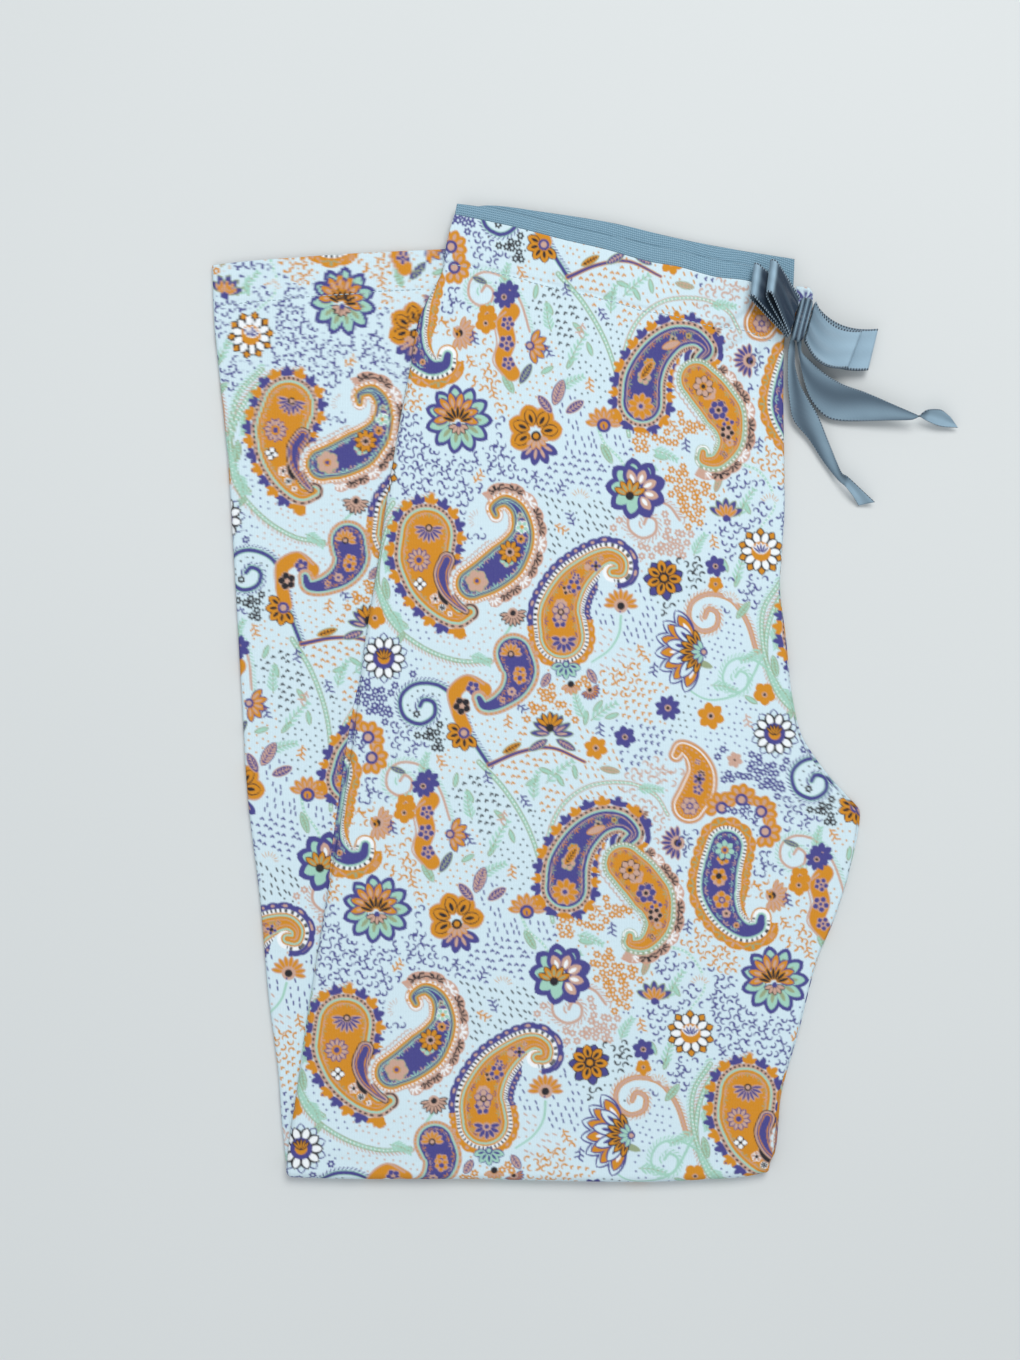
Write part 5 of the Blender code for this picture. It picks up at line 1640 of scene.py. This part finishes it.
def elastic_look():
    """Ribbed elastic: close ribs along the band, crossed by finer pale threads, half matt."""
    look = Look("ribbed_elastic", Roughness=0.75, Sheen_Weight=0.1)
    along, across, _ = look.split(look.place())
    ribs = (across * (2 * math.pi / RIB_PITCH)).sine()
    threads = (along * (2 * math.pi / RIB_THREAD) + ribs * 1.2).sine()
    flecks = look.noise(look.place(), 1400.0, 3.0)
    weave = ribs * 0.5 + threads * 0.35 + flecks * 1.2
    share = weave * 0.42 + 0.05
    colour = look.mix(share, ELASTIC_DARK, ELASTIC_PALE)
    return look.feed(Base_Color=colour, Normal=look.bump(weave, 0.0003, 0.8))


def satin_look():
    """Satin ribbon: its colour from the piece's attribute, with light and shade painted in there,
    under a fine cross weave, a picot edge of alternate pale and dark loops, and a gloss that follows the
    weave."""
    look = Look(
        "satin_ribbon", Roughness=0.34, Sheen_Weight=0.04, Sheen_Roughness=0.35, Specular_IOR_Level=0.3
    )
    along, across, _ = look.split(look.place())
    weft = (along * (2 * math.pi / WEFT_PITCH)).sine()
    drift = look.noise(look.place(), 60.0, 1.0)
    from_middle = (across - RIBBON_WIDTH / 2).absolute()
    selvedge = from_middle.above(PICOT_START)
    loops = (along * (2 * math.pi / PICOT_PITCH)).sine().above(0.0)
    # The ribbon's colour with its light and shade painted in, read from the piece's attribute
    dye_and_painted_light = look.add("ShaderNodeAttribute", {"attribute_name": "dye_and_painted_light"}, output="Color")
    body = look.mix(drift * 0.3 + weft * 0.05, dye_and_painted_light, SATIN_SHADE)
    edge = look.mix(loops, PICOT_DARK, PICOT_PALE)
    colour = look.mix(selvedge, body, edge)
    rough = drift * 0.18 + selvedge * 0.3 + 0.26
    relief = look.bump(weft + selvedge * loops * 3, 0.00008, 0.7)
    return look.feed(Base_Color=colour, Roughness=rough, Normal=relief)


def thread_look():
    """Sewing thread: pale blue-grey, twisted."""
    look = Look("sewing_thread", Roughness=0.7)
    twist = look.noise(look.place("Object"), 2500.0, 1.0)
    colour = look.mix(twist, THREAD_DARK, THREAD_PALE)
    return look.feed(Base_Color=colour)


def floor_look():
    """A smooth pale grey-blue surface, barely mottled."""
    look = Look("pale_floor", Roughness=0.8, Specular_IOR_Level=0.2)
    mottle = look.noise(look.place("Object"), 3.0, 1.0)
    return look.feed(Base_Color=look.mix(mottle, FLOOR_DARK, FLOOR_PALE))


def add_floor():
    """A wide flat sheet just below the cloth, with closer rows towards its middle."""
    side = np.linspace(-1, 1, 21) ** 3 * FLOOR_REACH
    x, y = np.meshgrid(side, -side)
    z = -FLOOR_DEPTH - 0 * x
    floor = add_grid("floor", np.stack([x, y, z], -1), floor_look())


def add_lamp(name, place, size, power, colour):
    lamp = bpy.data.lights.new(name, "AREA")
    lamp.shape = "DISK"
    lamp.size = size
    lamp.energy = power
    lamp.color = colour
    obj = bpy.data.objects.new(name, lamp)
    bpy.context.scene.collection.objects.link(obj)
    obj.location = place
    obj.rotation_euler = (-Vector(place)).to_track_quat("-Z", "Y").to_euler()


def add_light():
    """A broad soft lamp beyond the waist, a fill from the other side, and a pale sky."""
    add_lamp("key", (0.35, 1.0, 1.8), 1.1, 26, (1.0, 0.985, 0.965))
    add_lamp("fill", (-0.5, -0.8, 1.7), 1.6, 7, (0.97, 0.99, 1.0))
    world = bpy.data.worlds.new("studio")
    world.use_nodes = True
    backdrop = world.node_tree.nodes["Background"]
    backdrop.inputs["Color"].default_value = (0.96, 0.98, 1.0, 1)
    backdrop.inputs["Strength"].default_value = 0.5
    bpy.context.scene.world = world
    bpy.context.scene.view_settings.view_transform = "Standard"


def add_camera():
    """Straight above the folded trousers, with the whole of them in view."""
    camera = bpy.data.cameras.new("camera")
    camera.lens = 50
    camera.sensor_width = 36
    obj = bpy.data.objects.new("camera", camera)
    obj.location = (CAMERA_X, CAMERA_Y, CAMERA_HEIGHT)
    bpy.context.scene.collection.objects.link(obj)
    bpy.context.scene.camera = obj


def declare(obj, nodes):
    """The piece rides with the part, and hides the CAD nodes that it stands for."""
    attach(obj, "root")
    if nodes:
        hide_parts(*nodes)


def sheet_of(width, length):
    width * MM
    length * MM


def flat_measure(cloth):
    """The cut of a piece from its places on the cloth: width, length and area, by the
    trapezium between its rows."""
    wide = np.linalg.norm(cloth[:, -1] - cloth[:, 0], axis=1)
    middle = cloth[:, cloth.shape[1] // 2]
    steps = np.linalg.norm(np.diff(middle, axis=0), axis=1)
    area = (steps * (wide[1:] + wide[:-1]) / 2).sum()
    width, length = wide.max(), steps.sum()
    return width, length, min(area, width * length) * MM * MM


def sheet_of_cloth(cloth):
    """The piece's cut from its own places on the cloth."""
    width, length, area = flat_measure(cloth)
    sheet_of(width, length)


def dress_top_leg(look):
    points, cloth = top_leg_surface()
    colours = print_at(cloth, UPPER_LIE)
    bounds = np.linspace(0, len(points) - 1, PANEL_STRIPS + 1).round().astype(int)
    for number in range(PANEL_STRIPS):
        rows = slice(bounds[number], bounds[number + 1] + 1)
        name = f"top_leg_cloth_{number + 1}"
        obj = add_grid(name, points[rows], look, cloth[rows], colours[rows])
        declare(obj, ["top_leg_front_panel"] if number == 0 else [])
        sheet_of_cloth(cloth[rows])
    return points


def dress_lower_leg(look):
    points, cloth = lower_leg_surface()
    obj = add_grid("lower_leg_cloth", points, look, cloth, print_at(cloth, LOWER_LIE))
    declare(obj, ["under_leg_front_panel"])
    sheet_of_cloth(cloth)
    return points


def surface_line(points, distance, first, last):
    """A line of places on a surface at a distance below its top edge, read down its columns."""
    columns = np.linspace(first, last, STITCH_LINE).round().astype(int)
    steps = np.linalg.norm(np.diff(points[:, columns], axis=0), axis=2)
    run = np.concatenate([0 * points[:1, columns, 0], np.cumsum(steps, axis=0)])
    row = (run < distance).sum(axis=0)
    return points[row, columns].T


def main():
    add_camera()
    add_light()
    add_floor()
    jersey = printed_jersey_look()
    top = dress_top_leg(jersey)
    lower = dress_lower_leg(jersey)
    layers = add_hidden_layers(jersey)
    declare(layers, ["hidden_layers"])
    points, cloth = between_layer_surface()
    between = add_grid("between_layer_edge", points, jersey, cloth, print_at(cloth, UPPER_LIE))
    declare(between, [])
    width, length, _ = flat_measure(cloth)
    sheet_of(width, length)
    corner = waist_corner(jersey)
    declare(corner, ["other_front_waist_corner"])
    sheet_of(14.0, 22.0)
    elastic = elastic_look()
    for node, band in BANDS.items():
        points, cloth = band_surface(band)
        obj = add_grid(f"{node}_weave", points, elastic, cloth, wall=1.1)
        declare(obj, [node])
        width, length, _ = flat_measure(cloth.transpose(1, 0, 2))
        sheet_of(width, length)
    satin = satin_look()
    for node, loop in BOW_LOOPS.items():
        obj = bow_loop(f"{node}_satin", loop, satin, "right" in node)
        declare(obj, [node])
        sheet_of_ribbon(obj)
    for node, stations in BOW_TAILS.items():
        obj = bow_tail(f"{node}_satin", stations, satin)
        declare(obj, [node])
        sheet_of_ribbon(obj)
    knot = bow_knot(satin)
    declare(knot, ["bow_knot"])
    sheet_of(12.5, 31.0)
    thread = thread_look()
    for name, points, depth, first, last in (
        ("casing_stitches", top, CASING, 16, PANEL_COLUMNS),
        ("hem_stitches", lower, HEM_DEPTH, 10, LOWER_COLUMNS + 2),
    ):
        line = surface_line(points, depth + 1.5, first, last)
        declare(stitches(name, *line, thread), [])


def sheet_of_ribbon(obj):
    """Reads the ribbon's places on its own cloth map, and the areas of its faces, from its mesh."""
    layer = obj.data.uv_layers["cloth"]
    places = np.empty(len(layer.uv) * 2, np.float32)
    layer.uv.foreach_get("vector", places)
    faces = np.empty(len(obj.data.polygons), np.float32)
    obj.data.polygons.foreach_get("area", faces)


main()
